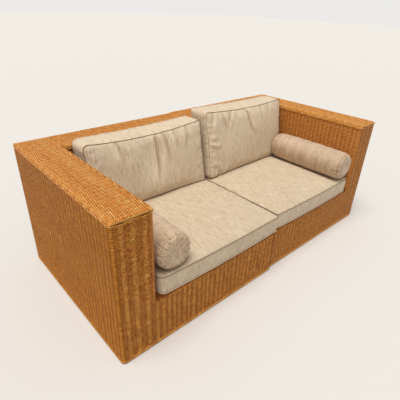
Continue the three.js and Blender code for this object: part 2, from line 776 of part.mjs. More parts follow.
// Every piece of one module, in the module's own frame: x from the arm's outer face to the seam,
// y from the front to the rear, z from the floor
function modulePieces(side) {
  const frame = {
    arm_front_ladder: armFrontLadder(),
    corner_outer_post: cornerOuterPost(),
    corner_inner_post: cornerInnerPost(),
    back_end_ladder: backEndLadder(),
    seam_front_post: seamFrontPost(),
    ...bottomRails(),
    ...seatRails(),
  };
  return [
    [COLOURS.weaveTop, { top_weave: topWeave() }],
    [
      COLOURS.weaveOuter,
      {
        arm_outer_weave: armOuterWeave(),
        front_weave: frontWeave(),
        back_outer_weave: backOuterWeave(),
        seam_weave: seamWeave(),
      },
    ],
    [COLOURS.weaveInner, { arm_inner_weave: armInnerWeave(), back_inner_weave: backInnerWeave() }],
    [COLOURS.hardwood, frame],
    [
      COLOURS.plywood,
      {
        arm_top_board: armTopBoard(),
        back_top_board: backTopBoard(),
        seat_slat_deck: seatSlatDeck(),
      },
    ],
    [COLOURS.glide, glides()],
    [COLOURS.seatFabric, { seat_cushion: seatCushion(side) }],
    [COLOURS.backFabric, { back_cushion: backCushion(side) }],
    [COLOURS.bolsterFabric, { bolster: bolster(side) }],
  ];
}

// The same piece for the other hand: x turned over, and the faces with it
function mirrored(geometry) {
  const copy = bare(geometry);
  copy.scale(-1, 1, 1);
  const index = copy.index.array;
  for (let i = 0; i < index.length; i += 3) {
    [index[i + 1], index[i + 2]] = [index[i + 2], index[i + 1]];
  }
  return copy;
}

const SIDES = [
  {
    name: "left",
    hand: 1,
    setback: 0,
    seatWidth: SEAT_WIDTH - LEFT_SEAT_CUSHION_GAP + LEFT_SEAT_CUSHION_OVERHANG,
    seatGap: LEFT_SEAT_CUSHION_GAP,
    backHeight: LEFT_BACK_CUSHION_HEIGHT,
    backBoxing: LEFT_BACK_CUSHION_BOXING,
    backWidth: SEAT_WIDTH - LEFT_BACK_CUSHION_GAP - LEFT_BACK_CUSHION_SEAM_GAP,
    backGap: LEFT_BACK_CUSHION_GAP,
    backRearGap: LEFT_BACK_CUSHION_REAR_GAP,
    backLean: LEFT_BACK_CUSHION_LEAN,
    backRise: LEFT_BACK_CUSHION_RISE,
    backTurn: LEFT_BACK_CUSHION_TURN,
    backCorner: LEFT_BACK_CUSHION_CORNER,
    backSeamCorner: LEFT_BACK_CUSHION_SEAM_CORNER,
    bolsterRadius: LEFT_BOLSTER_RADIUS,
    bolsterGap: LEFT_BOLSTER_GAP,
    bolsterFront: LEFT_BOLSTER_FRONT,
  },
  {
    name: "right",
    hand: -1,
    setback: MODULE_SETBACK,
    seatWidth: SEAT_WIDTH - RIGHT_SEAT_CUSHION_GAP - RIGHT_SEAT_CUSHION_INSET,
    seatGap: RIGHT_SEAT_CUSHION_GAP,
    backHeight: RIGHT_BACK_CUSHION_HEIGHT,
    backBoxing: RIGHT_BACK_CUSHION_BOXING,
    backWidth: SEAT_WIDTH - RIGHT_BACK_CUSHION_GAP - RIGHT_BACK_CUSHION_SEAM_GAP,
    backGap: RIGHT_BACK_CUSHION_GAP,
    backRearGap: RIGHT_BACK_CUSHION_REAR_GAP,
    backLean: RIGHT_BACK_CUSHION_LEAN,
    backRise: RIGHT_BACK_CUSHION_RISE,
    backTurn: RIGHT_BACK_CUSHION_TURN,
    backCorner: RIGHT_BACK_CUSHION_CORNER,
    backSeamCorner: RIGHT_BACK_CUSHION_SEAM_CORNER,
    bolsterRadius: RIGHT_BOLSTER_RADIUS,
    bolsterGap: RIGHT_BOLSTER_GAP,
    bolsterFront: RIGHT_BOLSTER_FRONT,
  },
];

const sofa = new THREE.Group();
for (const side of SIDES) {
  const place = new THREE.Group();
  place.position.set((-side.hand * OVERALL_WIDTH) / 2, -OVERALL_DEPTH / 2 + side.setback, 0);
  for (const [finish, pieces] of modulePieces(side)) {
    for (const [name, geometry] of Object.entries(pieces)) {
      const shape = side.hand < 0 ? mirrored(geometry) : bare(geometry);
      shape.computeVertexNormals();
      const mesh = new THREE.Mesh(shape, new THREE.MeshStandardMaterial(finish));
      mesh.name = `${side.name}_${name}`;
      place.add(mesh);
    }
  }
  sofa.add(place);
}

export default sofa;
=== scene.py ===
"""Rattan garden sofa: the looks of two one-arm modules, their woven skins, cushions and bolsters.

Lengths are in metres. A module's own frame has x from the arm's outer face to the seam, y from the
front to the rear and z from the floor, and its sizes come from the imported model.
"""

import math

import bpy
import numpy as np
from mathutils import Matrix, Vector


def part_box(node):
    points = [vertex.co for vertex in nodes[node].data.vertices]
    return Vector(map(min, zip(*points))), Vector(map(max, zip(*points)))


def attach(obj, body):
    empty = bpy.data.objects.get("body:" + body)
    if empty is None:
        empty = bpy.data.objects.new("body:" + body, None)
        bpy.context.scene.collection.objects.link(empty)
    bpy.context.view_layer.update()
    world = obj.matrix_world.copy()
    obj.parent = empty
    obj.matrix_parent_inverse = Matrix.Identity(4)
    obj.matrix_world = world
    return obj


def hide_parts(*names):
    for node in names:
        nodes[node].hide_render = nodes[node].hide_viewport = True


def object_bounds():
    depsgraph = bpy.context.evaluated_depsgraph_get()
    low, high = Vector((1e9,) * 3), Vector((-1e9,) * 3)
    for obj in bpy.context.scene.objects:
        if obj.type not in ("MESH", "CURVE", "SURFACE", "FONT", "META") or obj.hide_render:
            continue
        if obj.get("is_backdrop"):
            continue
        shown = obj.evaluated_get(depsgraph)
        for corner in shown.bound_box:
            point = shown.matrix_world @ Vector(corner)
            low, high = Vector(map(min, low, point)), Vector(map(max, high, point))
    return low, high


MM = 0.001
RANDOM_SEED = 7
WHITE = (255, 255, 255)
UP = (0, 0, 1)

# Woven skin: how the strands run through a wall, measured from its outer face
STRAND_PITCH = 5.0 * MM
STRAND_HALF_DEPTH = 1.45 * MM
STRAND_WIDTH_SHARE = 0.84
CREST_WIDTH_SHARE = 1.56
WAVE_DEPTH = 3.1 * MM
WAVE_SWING = 1.65 * MM
WAVE_TAUTNESS = 0.6
WANDER = 0.3 * MM
WANDER_WAVELENGTHS = (0.31, 0.11)
WANDER_SIZES = (0.3, 1.0)
STAKE_SPACING = 32 * MM
STAKE_STRAY = 0.13
ARM_STAKE_SPACING = 49 * MM
STAKE_HALF_WIDTH = 2.1 * MM
STAKE_HALF_DEPTH = 1.1 * MM
SAMPLES_PER_STAKE = 4
SAMPLES_NEAR_ENDS = 8
MIN_SAMPLE_GAP = 1.2 * MM
EDGE_RADIUS = 18 * MM
CORNER_RADIUS = 20 * MM
SEAM_CORNER_RADIUS = 10 * MM
INNER_CORNER_RADIUS = 3 * MM
SKIN_JOINT = 0.3 * MM
SEAT_EDGE_RETURN = 48 * MM
# Painted shadow under the seat cushion's front: where it starts on the roll, how far it deepens,
# and its darkest share
ROLL_SHADE_START = 3 * MM
ROLL_SHADE_LENGTH = 10 * MM
ROLL_SHADE_LEAST = 0.1
LIP_HEIGHT = 26 * MM
LIP_STRANDS = 2
LIP_PITCH = 4.9 * MM
FOOT_BORDER_STRANDS = 3
FOOT_BORDER_HEIGHT = 15 * MM
FOOT_BORDER_DEPTH = 2.0 * MM
INNER_PANEL_RECESS = 1.2 * MM
INNER_LIP_PROUD = 1.8 * MM
INNER_LIP_SWING = 1.9 * MM
QUARTER = math.pi / 2
ROLL_ANGLES = np.linspace(0, math.radians(54), 5)[1:]
ROPE_STRAND_RADIUS = 2.1 * MM
ROPE_STRAND_HALF_WIDTH = 2.415 * MM
ROPE_TURN_RADIUS = 1.8 * MM
ROPE_PITCH = 15 * MM
ROPE_STEPS_PER_TURN = 8
ROPE_SUNK = 1.6 * MM
ROPE_INSET = 1.4 * MM
ROPE_OVERRUN = 10 * MM
ROPE_REAR_OVERRUN = 2 * MM

# Ring shapes of a strand: the angle of each corner from the outward direction
RING_ANGLES = {4: (180, 285, 0, 75), 5: (232, 298, 0, 62, 128)}

# A strand's spread of shades, the room between its stretches of shade, and its strip of the map
SHADE_FOCUS = 2.2
SHADE_ROOM = 5
MAP_END, MAP_EDGE = 0.01, 0.05
CAP_STARTS, CAP_REACH, CAP_HEIGHT = (0.002, 0.992), 0.003, 0.4

# Painted light and shade of a strand lie at these heights, from behind a stake to over the next
TINT_LIFTS = (0.0, 0.25, 0.5, 0.75, 0.93)
FIBRE_TINT = (214, 198, 178)

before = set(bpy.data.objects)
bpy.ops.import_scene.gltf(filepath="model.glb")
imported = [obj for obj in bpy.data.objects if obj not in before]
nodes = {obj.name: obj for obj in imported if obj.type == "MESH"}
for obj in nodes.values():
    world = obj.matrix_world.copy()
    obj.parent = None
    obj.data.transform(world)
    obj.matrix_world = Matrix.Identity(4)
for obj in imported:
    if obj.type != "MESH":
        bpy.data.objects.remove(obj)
cad_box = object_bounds()


# Shading helpers


def linear(red, green, blue):
    """An sRGB colour of 0 to 255 as the linear values that a shader takes."""
    def channel(value):
        share = value / 255
        return share / 12.92 if share <= 0.04045 else ((share + 0.055) / 1.055) ** 2.4
    return (channel(red), channel(green), channel(blue), 1.0)


class Nodes:
    """A node tree, with short calls to add nodes. Colours are given as sRGB of 0 to 255."""

    def __init__(self, tree):
        self.tree = tree

    def give(self, socket, value):
        """Links a socket to another node's output, or sets it to a value."""
        if isinstance(value, bpy.types.NodeSocket):
            self.tree.links.new(value, socket)
        elif socket.type == "RGBA":
            socket.default_value = linear(*value)
        else:
            socket.default_value = value

    def node(self, kind, inputs, **settings):
        """Adds a node with its settings and inputs, which are pairs of a socket and a value."""
        made = self.tree.nodes.new(kind)
        for key, value in settings.items():
            setattr(made, key, value)
        for key, value in inputs:
            self.give(made.inputs[key], value)
        return made.outputs

    def math(self, operation, *values):
        return self.node("ShaderNodeMath", enumerate(values), operation=operation)[0]

    def mix(self, factor, first, second, blend="MIX"):
        inputs = ((0, factor), (6, first), (7, second))
        return self.node("ShaderNodeMix", inputs, data_type="RGBA", blend_type=blend)[2]

    def noise(self, vector, stretch=None, scale=1.0, detail=2.0, roughness=0.5):
        """Noise over places that are first multiplied by stretch."""
        if stretch:
            inputs = ((0, vector), (1, stretch))
            vector = self.node("ShaderNodeVectorMath", inputs, operation="MULTIPLY")[0]
        return self.node("ShaderNodeTexNoise", (
            ("Vector", vector), ("Scale", scale), ("Detail", detail), ("Roughness", roughness),
        ))[0]

    def attribute(self, name, output="Fac"):
        return self.node("ShaderNodeAttribute", (), attribute_name=name)[output]


class Shader(Nodes):
    """A new material with its Principled shader."""

    def __init__(self, name):
        self.material = bpy.data.materials.new(name)
        self.material.use_nodes = True
        super().__init__(self.material.node_tree)

    def position(self):
        return self.node("ShaderNodeTexCoord", ())["Object"]

    def cloth(self):
        return self.node("ShaderNodeUVMap", (), uv_map="Cloth")["UV"]

    def split(self, vector):
        return self.node("ShaderNodeSeparateXYZ", ((0, vector),))

    def ramp(self, factor, stops):
        made = self.tree.nodes.new("ShaderNodeValToRGB")
        elements = made.color_ramp.elements
        while len(elements) < len(stops):
            elements.new(0.5)
        for element, (place, colour) in zip(elements, stops):
            element.position = place
            element.color = linear(*colour)
        self.give(made.inputs[0], factor)
        return made.outputs[0]

    def tinted(self, colour, factor, stops, strength=1.0):
        """A colour multiplied by a ramp of tints."""
        return self.mix(strength, colour, self.ramp(factor, stops), "MULTIPLY")

    def bump(self, height, distance, strength, under=None):
        inputs = [("Height", height), ("Distance", distance), ("Strength", strength)]
        if under is not None:
            inputs.append(("Normal", under))
        return self.node("ShaderNodeBump", inputs)[0]

    def done(self, **sockets):
        """Gives the Principled shader its inputs and returns the material."""
        surface = self.tree.nodes["Principled BSDF"]
        for key, value in sockets.items():
            self.give(surface.inputs[key.replace("_", " ")], value)
        return self.material


def rattan_material(name, shades, hollows, grain, run=26, whole=0.3, gap=(158, 114, 72),
                    gap_shade_strength=0.5):
    """Lacquered rattan core: a painted highlight where a strand bulges over a stake and painted
    shade where it dips behind one, with changes of tone from one stretch of a strand to the next
    and fine fibres along it.

    hollows holds the painted light and shade from behind a stake, past the middle between two, to
    the crest over the next, and grain the tint of the darker flecks that lie over several strands.
    run is how many changes of tone a metre of strand has, whole the share that sets strands apart,
    and gap the painted shade on a strand's sides and back, beside the next strand.
    """
    shader = Shader(name)
    place = shader.attribute("strand_place", "Vector")
    _, around, seed = shader.split(place)
    stretch = shader.noise(place, (run, 0, 71), roughness=0.6)
    strand = shader.math("MULTIPLY_ADD", seed, whole, 0.5 - whole / 2)
    shade = shader.math("ADD", shader.math("MULTIPLY_ADD", stretch, 1.2, -0.6), strand)
    colour = shader.ramp(shade, list(zip(np.linspace(0, 1, len(shades)).tolist(), shades)))
    # Painted highlight on the crests over the stakes, painted shade where strands dip behind them
    colour = shader.tinted(colour, shader.attribute("strand_lift"), list(zip(TINT_LIFTS, hollows)))
    flecks = shader.noise(shader.position(), scale=115, detail=3.0, roughness=0.8)
    colour = shader.tinted(colour, flecks, [(0.38, grain), (0.6, WHITE)])
    fibre = shader.noise(place, (70, 14, 97), detail=3.0, roughness=0.6)
    colour = shader.tinted(colour, fibre, [(0.35, FIBRE_TINT), (0.6, WHITE)], strength=0.6)
    # Painted shade on each strand's sides and back, where it meets the next strand
    crease = shader.math("ABSOLUTE", shader.math("SUBTRACT", around, 0.4))
    return shader.done(
        Base_Color=shader.tinted(colour, crease, [(0.1, WHITE), (0.36, gap)], gap_shade_strength),
        Roughness=shader.math("MULTIPLY_ADD", fibre, 0.25, 0.36),
        Normal=shader.bump(fibre, distance=0.25 * MM, strength=0.5),
        Specular_IOR_Level=0.18, Coat_Weight=0.03, Coat_Roughness=0.35,
    )


# Meshes and lines


def new_mesh(name, points, face_groups, map_name, map_groups, mirrored):
    """A smooth mesh with its map. The faces of one group have as many corners each, and those of
    the mirrored module are turned round."""
    if mirrored:
        face_groups, map_groups = ([a[:, ::-1] for a in g] for g in (face_groups, map_groups))
    made = bpy.data.meshes.new(name)
    made.vertices.add(len(points))
    made.vertices.foreach_set("co", np.asarray(points, np.float32).ravel())
    corners = np.concatenate([group.ravel() for group in face_groups])
    sizes = np.concatenate([np.full(len(group), group.shape[1]) for group in face_groups])
    starts = np.concatenate([[0], np.cumsum(sizes)[:-1]])
    made.loops.add(len(corners))
    made.loops.foreach_set("vertex_index", corners.astype(np.int32))
    made.polygons.add(len(sizes))
    made.polygons.foreach_set("loop_start", starts.astype(np.int32))
    made.polygons.foreach_set("use_smooth", np.ones(len(sizes), bool))
    made.update(calc_edges=True)
    maps = np.concatenate([group.reshape(-1, 2) for group in map_groups]).astype(np.float32)
    made.uv_layers.new(name=map_name).uv.foreach_set("vector", maps.ravel())
    return made


def store(mesh, name, values, kind="FLOAT", field="value"):
    """Adds an attribute that holds a value for each point."""
    made = mesh.attributes.new(name, kind, "POINT")
    made.data.foreach_set(field, values.astype(np.float32).ravel())


def link_piece(name, mesh, material):
    piece = bpy.data.objects.new(name, mesh)
    bpy.context.scene.collection.objects.link(piece)
    mesh.materials.append(material)
    return piece


def distances(line):
    """How far along a line each of its points lies."""
    return np.concatenate([[0], np.cumsum(np.linalg.norm(np.diff(line, axis=0), axis=1))])


def closed(line):
    return np.concatenate([line, line[:1]])


def unit(vectors):
    return vectors / np.linalg.norm(vectors, axis=-1, keepdims=True)


# Strands


class Skin:
    """The strands of one woven piece, gathered as arrays and turned into one mesh."""

    def __init__(self, plan, node, sides):
        self.node, self.sides = node, sides
        self.name = f"{plan.side}_{node}_strands"
        self.chance = plan.chance(self.name)
        self.points, self.places, self.lifts = [], [], []
        self.quads, self.quad_maps, self.caps, self.cap_maps = [], [], [], []
        self.corner_count, self.strand_count = 0, 0

    def add(self, centres, outward, half_depth, half_width, along, lift=0.0):
        """Adds a tube round each row of centres. centres and outward are (rows, samples, 3).

        half_width and lift hold one number or one for each sample. lift is 1 over a stake, and 0
        behind it.
        """
        rows, samples = centres.shape[:2]
        sides = self.sides
        ahead = np.gradient(centres, axis=1)
        ahead = unit(ahead - outward * (ahead * outward).sum(2, keepdims=True))
        across = np.cross(outward, ahead)
        angle = np.radians(RING_ANGLES[sides])
        half_width = np.broadcast_to(half_width, (rows, samples))[..., None, None]
        reach = outward[:, :, None] * np.cos(angle)[:, None] * half_depth
        width = across[:, :, None] * np.sin(angle)[:, None] * half_width
        rings = centres[:, :, None] + reach + width
        seeds = self.chance.beta(SHADE_FOCUS, SHADE_FOCUS, rows)
        place = np.empty(rings.shape)
        start = self.chance.uniform(0, SHADE_ROOM, rows)
        place[..., 0] = along[None, :, None] + start[:, None, None]
        place[..., 1] = np.arange(sides) / sides
        place[..., 2] = seeds[:, None, None]
        row, sample, side = np.meshgrid(
            np.arange(rows), np.arange(samples - 1), np.arange(sides), indexing="ij"
        )
        after = (side + 1) % sides
        first = self.corner_count + (row * samples + sample) * sides
        quads = [first + side, first + sides + side, first + sides + after, first + after]
        u0, u1 = (MAP_END + (1 - 2 * MAP_END) * (sample + s) / (samples - 1) for s in (0, 1))
        strip = self.strand_count + row + MAP_EDGE
        v0, v1 = (strip + (1 - 2 * MAP_EDGE) * (side + s) / sides for s in (0, 1))
        self.quads.append(np.stack(quads, -1).reshape(-1, 4))
        self.quad_maps.append(np.stack([u0, v0, u1, v0, u1, v1, u0, v1], -1).reshape(-1, 4, 2))
        base = self.corner_count + np.arange(rows)[:, None] * samples * sides
        ring = np.arange(sides)[None, :]
        self.caps += [base + ring, base + (samples - 1) * sides + ring[:, ::-1]]
        v = np.arange(rows)[:, None] + self.strand_count + 0.5 + CAP_HEIGHT * np.sin(angle)
        for start, way in zip(CAP_STARTS, (1, -1)):
            u = np.broadcast_to(start + CAP_REACH * (1 + np.cos(angle)), v.shape)
            self.cap_maps.append(np.stack([u[:, ::way], v[:, ::way]], -1))
        self.points.append(rings.reshape(-1, 3))
        self.places.append(place.reshape(-1, 3))
        self.lifts.append(np.broadcast_to(np.asarray(lift)[..., None], rings.shape[:3]).ravel())
        self.corner_count += rows * samples * sides
        self.strand_count += rows

    def woven(self, surface, outward, phase, parity, along, swing=WAVE_SWING, depth=WAVE_DEPTH,
              shown=1.0):
        """Adds rows that run over and under the stakes. surface and outward are (rows, samples, 3).

        shown below 1 paints shade on rows, giving them the darker tints of strands behind a stake.
        """
        round_wave = np.cos(math.pi * (phase[None, :] + parity[:, None]))
        straight_wave = np.arcsin(np.clip(round_wave, -1, 1)) / QUARTER
        wave = round_wave + (straight_wave - round_wave) * WAVE_TAUTNESS
        inset = depth - swing * wave
        way = np.cross(outward, np.gradient(surface, axis=1))
        way /= np.maximum(np.linalg.norm(way, axis=2, keepdims=True), 1e-9)
        drift = wander(self.chance, len(surface), along)
        centres = surface - outward * inset[:, :, None] + way * drift[:, :, None]
        lift = (1 + wave) / 2 if swing else np.ones_like(wave)
        spread = STRAND_WIDTH_SHARE + (CREST_WIDTH_SHARE - STRAND_WIDTH_SHARE) * lift
        half_width = STRAND_PITCH / 2 * spread
        self.add(centres, outward, STRAND_HALF_DEPTH, half_width, along, lift * shown)

    def woven_on(self, path, levels, parity, **look):
        """Adds level rows at these heights along a path."""
        surface, outward = path.wall(levels)
        self.woven(surface, outward, path.phase, parity, path.along, **look)

    def mesh(self, plan):
        quads, caps = np.concatenate(self.quads), np.concatenate(self.caps)
        maps = [np.concatenate(self.quad_maps), np.concatenate(self.cap_maps)]
        for group in maps:
            group[..., 1] /= self.strand_count
        points = plan.world(np.concatenate(self.points))
        made = new_mesh(self.name, points, [quads, caps], "OFBake", maps, plan.mirrored)
        store(made, "strand_place", np.concatenate(self.places), "FLOAT_VECTOR", "vector")
        store(made, "strand_lift", np.concatenate(self.lifts))
        return made


def wander(chance, rows, along):
    """Small slow sideways drifts of hand-woven rows."""
    drift = np.zeros((rows, len(along)))
    for wavelength in WANDER_WAVELENGTHS:
        start = chance.uniform(0, 2 * math.pi, (rows, 1))
        size = chance.uniform(*WANDER_SIZES, (rows, 1)) * WANDER / 2
        drift += size * np.sin(along[None, :] * 2 * math.pi / wavelength + start)
    return drift


# Plans and paths


def grid_lines(ends, first_spacing, chance):
    """Stake places from 0 through each end, nearly evenly spaced between them."""
    lines = [0.0]
    for start, end, spacing in zip([0.0, *ends], ends, (first_spacing, STAKE_SPACING)):
        count = max(1, round((end - start) / spacing))
        stray = chance.uniform(-STAKE_STRAY, STAKE_STRAY, count)
        stray[-1] = 0
        lines += [start + (end - start) * (i + 1 + stray[i]) / count for i in range(count)]
    return np.array(lines)


class Plan:
    """One module's sizes and stake grid."""

    def __init__(self, side):
        self.side = side
        self.hand = 1 if side == "left" else -1
        self.mirrored = self.hand < 0
        self.body = f"{side}_module"
        outer, seam, inner, back, deck, top = (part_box(f"{side}_{node}") for node in (
            "arm_outer_weave", "seam_weave", "arm_inner_weave", "back_inner_weave",
            "seat_slat_deck", "top_weave",
        ))
        arm = (outer[1].x, inner[0].x) if self.mirrored else (outer[0].x, inner[1].x)
        self.x_outer, self.y_front = arm[0], outer[0].y
        self.width = outer[1].x - seam[0].x if self.mirrored else seam[1].x - outer[0].x
        self.depth = outer[1].y - outer[0].y
        self.arm = abs(arm[1] - arm[0])
        self.back = back[0].y - self.y_front
        self.foot, self.seat, self.top = outer[0].z, deck[1].z, top[1].z
        self.seat_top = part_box(f"{side}_seat_cushion")[0].z + SEAT_BOXING
        chance = self.chance("stakes")
        self.x_lines = grid_lines([self.arm, self.width], ARM_STAKE_SPACING, chance)
        self.y_lines = grid_lines([self.back, self.depth], STAKE_SPACING, chance)
        self.lip = self.top - LIP_HEIGHT
        lower = rows_between(self.foot + FOOT_BORDER_HEIGHT, self.seat)
        self.first_upper = len(lower)
        self.levels = np.concatenate([lower, rows_between(self.seat, self.lip)])
        self.count = len(self.levels)

    def world(self, points):
        moved = np.array(points, float)
        moved[:, 0] = self.x_outer + self.hand * points[:, 0]
        moved[:, 1] = self.y_front + points[:, 1]
        return moved

    def box_of(self, node):
        """A node's lowest and highest corners in the module's frame."""
        low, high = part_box(f"{self.side}_{node}")
        ends = sorted(self.hand * (corner.x - self.x_outer) for corner in (low, high))
        return (np.array([end, corner.y - self.y_front, corner.z])
                for end, corner in zip(ends, (low, high)))

    def chance(self, name):
        """A source of random numbers that is the same on each run."""
        return np.random.default_rng(RANDOM_SEED + sum(ord(letter) for letter in name))

    def phase(self, x, y):
        """How many stakes lie between the outer front corner and a point of the plan."""
        grid = ((x, self.x_lines), (y, self.y_lines))
        return sum(np.interp(at, lines, np.arange(len(lines))) for at, lines in grid)


def rows_between(low, high):
    """Middles of evenly spaced rows that fill a height."""
    count = max(1, round((high - low) / STRAND_PITCH))
    return low + (high - low) * (np.arange(count) + 0.5) / count


def samples_on(lines, start, end, fine_start, fine_end):
    """Places from start to end at shares of the stake spacing, closer near an end that turns."""
    low, high = min(start, end), max(start, end)
    fine_low, fine_high = (fine_start, fine_end) if start < end else (fine_end, fine_start)
    places = [low, high]
    for a, b in zip(lines[:-1], lines[1:]):
        near = (a < low + CORNER_RADIUS and fine_low) or (b > high - CORNER_RADIUS and fine_high)
        count = SAMPLES_NEAR_ENDS if near else SAMPLES_PER_STAKE
        places += [a + (b - a) * i / count for i in range(count)]
    places = np.unique(np.round([p for p in places if low <= p <= high], 6))
    keep = np.concatenate([[True], np.diff(places) > MIN_SAMPLE_GAP])
    keep[-1] = True
    places = places[keep]
    return places if start < end else places[::-1]


class Path:
    """A line round a plan: places, outward directions, stake phases and lengths along it."""

    def __init__(self, plan, corners, radii=(0, 0), shift=0.0):
        parts = []
        last = len(corners) - 2
        for i, ((ax, ay), (bx, by)) in enumerate(zip(corners[:-1], corners[1:])):
            across = abs(bx - ax) > abs(by - ay)
            lines = plan.x_lines if across else plan.y_lines
            start, end = (ax, bx) if across else (ay, by)
            at = samples_on(lines, start, end, i > 0, i < last)[min(i, 1):]
            level = np.full(len(at), ay if across else ax)
            sharp = np.stack([at, level] if across else [level, at], 1)
            ahead = np.sign([bx - ax, by - ay]) * [across, not across]
            place = sharp.copy()
            outward = np.tile([-ahead[1], ahead[0]], (len(at), 1)).astype(float)
            for corner in (i, i + 1):
                if radii[corner] > 0:
                    bend(corners, corner, radii[corner], sharp, place, outward)
            parts.append((sharp, place, outward))
        sharp, place, self.outward = (np.concatenate(p) for p in zip(*parts))
        self.phase = plan.phase(sharp[:, 0], sharp[:, 1])
        self.place = place + self.outward * shift
        self.along = distances(self.place)

    def wall(self, levels):
        """Surface places and outward directions of level rows at these heights."""
        surface, outward = np.zeros((2, len(levels), len(self.place), 3))
        surface[..., :2] = self.place
        surface[..., 2] = np.asarray(levels)[:, None]
        outward[..., :2] = self.outward
        return surface, outward

    def stakes(self):
        """Where stakes stand on the path: the samples whose phase is a whole number."""
        whole = np.abs(self.phase - np.round(self.phase)) < 1e-4
        return self.place[whole], self.outward[whole]


def bend(corners, index, radius, sharp, place, outward):
    """Moves the samples near one corner of a path on to its arc."""
    corner = np.array(corners[index], float)
    a = unit(corner - corners[index - 1])
    b = unit(np.array(corners[index + 1], float) - corner)
    reach = np.linalg.norm(sharp - corner, axis=1)
    near = reach < radius
    after = (sharp - corner) @ b > 1e-9
    turn = QUARTER / 2 * (1 + np.where(after, 1, -1) * reach / radius)
    cos, sin = np.cos(turn)[:, None], np.sin(turn)[:, None]
    arc = corner + radius * (b * (1 - cos) - a * (1 - sin))
    left = lambda v: np.array([-v[1], v[0]])
    place[near] = arc[near]
    outward[near] = (left(a) * cos + left(b) * sin)[near]


def add_wall(skin, plan, path, first, last):
    """Woven rows of the plan's levels from first to last on a path, with their stakes."""
    levels = plan.levels[first:last]
    skin.woven_on(path, levels, np.arange(first, last))
    places, outward = path.stakes()
    if len(places) == 0:
        return
    low, high = levels[0] - STRAND_PITCH / 2, levels[-1] + STRAND_PITCH / 2
    centres, out = np.zeros((2, len(places), 2, 3))
    centres[..., :2] = (places - outward * WAVE_DEPTH)[:, None]
    centres[..., 2] = low, high
    out[..., :2] = outward[:, None]
    skin.add(centres, out, STAKE_HALF_DEPTH, STAKE_HALF_WIDTH, np.array([0.0, high - low]))


def add_foot_border(skin, plan, path):
    """Smooth strands laid round the foot, below the woven rows."""
    pitch = FOOT_BORDER_HEIGHT / FOOT_BORDER_STRANDS
    levels = plan.foot + pitch * (np.arange(FOOT_BORDER_STRANDS) + 0.5)
    skin.woven_on(path, levels, np.zeros(len(levels)), swing=0.0, depth=FOOT_BORDER_DEPTH)


# Woven pieces of one module


def wall_skin(plan, node, sides, corners, radii=(0, 0)):
    """A wall from the floor to the top's lip."""
    skin = Skin(plan, node, sides)
    path = Path(plan, corners, radii)
    add_foot_border(skin, plan, path)
    add_wall(skin, plan, path, 0, plan.count)
    return skin


def panel_skin(plan, node, sides, corners, radii=(0, 0)):
    """A slightly recessed wall from the seat to the top's lip."""
    skin = Skin(plan, node, sides)
    path = Path(plan, corners, radii, -INNER_PANEL_RECESS)
    add_wall(skin, plan, path, plan.first_upper, plan.count)
    return skin


def front_skin(plan, left, seam):
    """The front of the arm and of the base, rolled over the seat's edge."""
    skin = Skin(plan, "front_weave", 5)
    arc_low = plan.seat - EDGE_RADIUS
    straight = int(np.searchsorted(plan.levels, arc_low))
    whole = Path(plan, [(seam, 0), (left, 0)])
    add_foot_border(skin, plan, whole)
    add_wall(skin, plan, whole, 0, straight)
    add_wall(skin, plan, Path(plan, [(plan.arm, 0), (left, 0)]), straight, plan.first_upper)
    arm = Path(plan, [(plan.arm - left, 0), (left, 0)])
    add_wall(skin, plan, arm, plan.first_upper, plan.count)
    edge = Path(plan, [(seam, 0), (plan.arm + SKIN_JOINT, 0)])
    start = plan.levels[straight] - arc_low
    length = EDGE_RADIUS * QUARTER + SEAT_EDGE_RETURN - EDGE_RADIUS
    steps = np.arange(start, length, STRAND_PITCH)
    turn = np.clip(steps / EDGE_RADIUS, 0, QUARTER)
    beyond = np.clip(steps - EDGE_RADIUS * QUARTER, 0, None)
    surface, outward = np.zeros((2, len(steps), len(edge.place), 3))
    surface[..., 0] = edge.place[:, 0]
    surface[..., 1] = (EDGE_RADIUS * (1 - np.cos(turn)) + beyond)[:, None]
    surface[..., 2] = (arc_low + EDGE_RADIUS * np.sin(turn))[:, None]
    outward[..., 1] = -np.cos(turn)[:, None]
    outward[..., 2] = np.sin(turn)[:, None]
    # Painted shadow of the seat cushion's front on the rows that roll under it, darker towards the
    # seat
    shown = 1 - (steps - ROLL_SHADE_START) / ROLL_SHADE_LENGTH
    skin.woven(surface, outward, edge.phase, straight + np.arange(len(steps)), edge.along,
               shown=np.clip(shown, ROLL_SHADE_LEAST, 1)[:, None])
    return skin


def seam_skin(plan):
    """The side that faces the other module: the base's side and the back's end."""
    skin = Skin(plan, "seam_weave", 4)
    turn = plan.width - SEAM_CORNER_RADIUS
    radii = [0, SEAM_CORNER_RADIUS, SEAM_CORNER_RADIUS, 0]
    low, high = (
        Path(plan, [
            (turn, plan.depth), (plan.width, plan.depth), (plan.width, y), (turn, y),
        ], radii)
        for y in (0, plan.back)
    )
    add_foot_border(skin, plan, low)
    add_wall(skin, plan, low, 0, plan.first_upper)
    add_wall(skin, plan, high, plan.first_upper, plan.count)
    return skin


def rolled(centre, across, ahead, angles):
    """Surface places and outward directions on a ball-shaped end round a centre."""
    outward = np.outer(np.cos(angles), across) + np.outer(np.sin(angles), ahead)
    return centre + EDGE_RADIUS * outward, outward


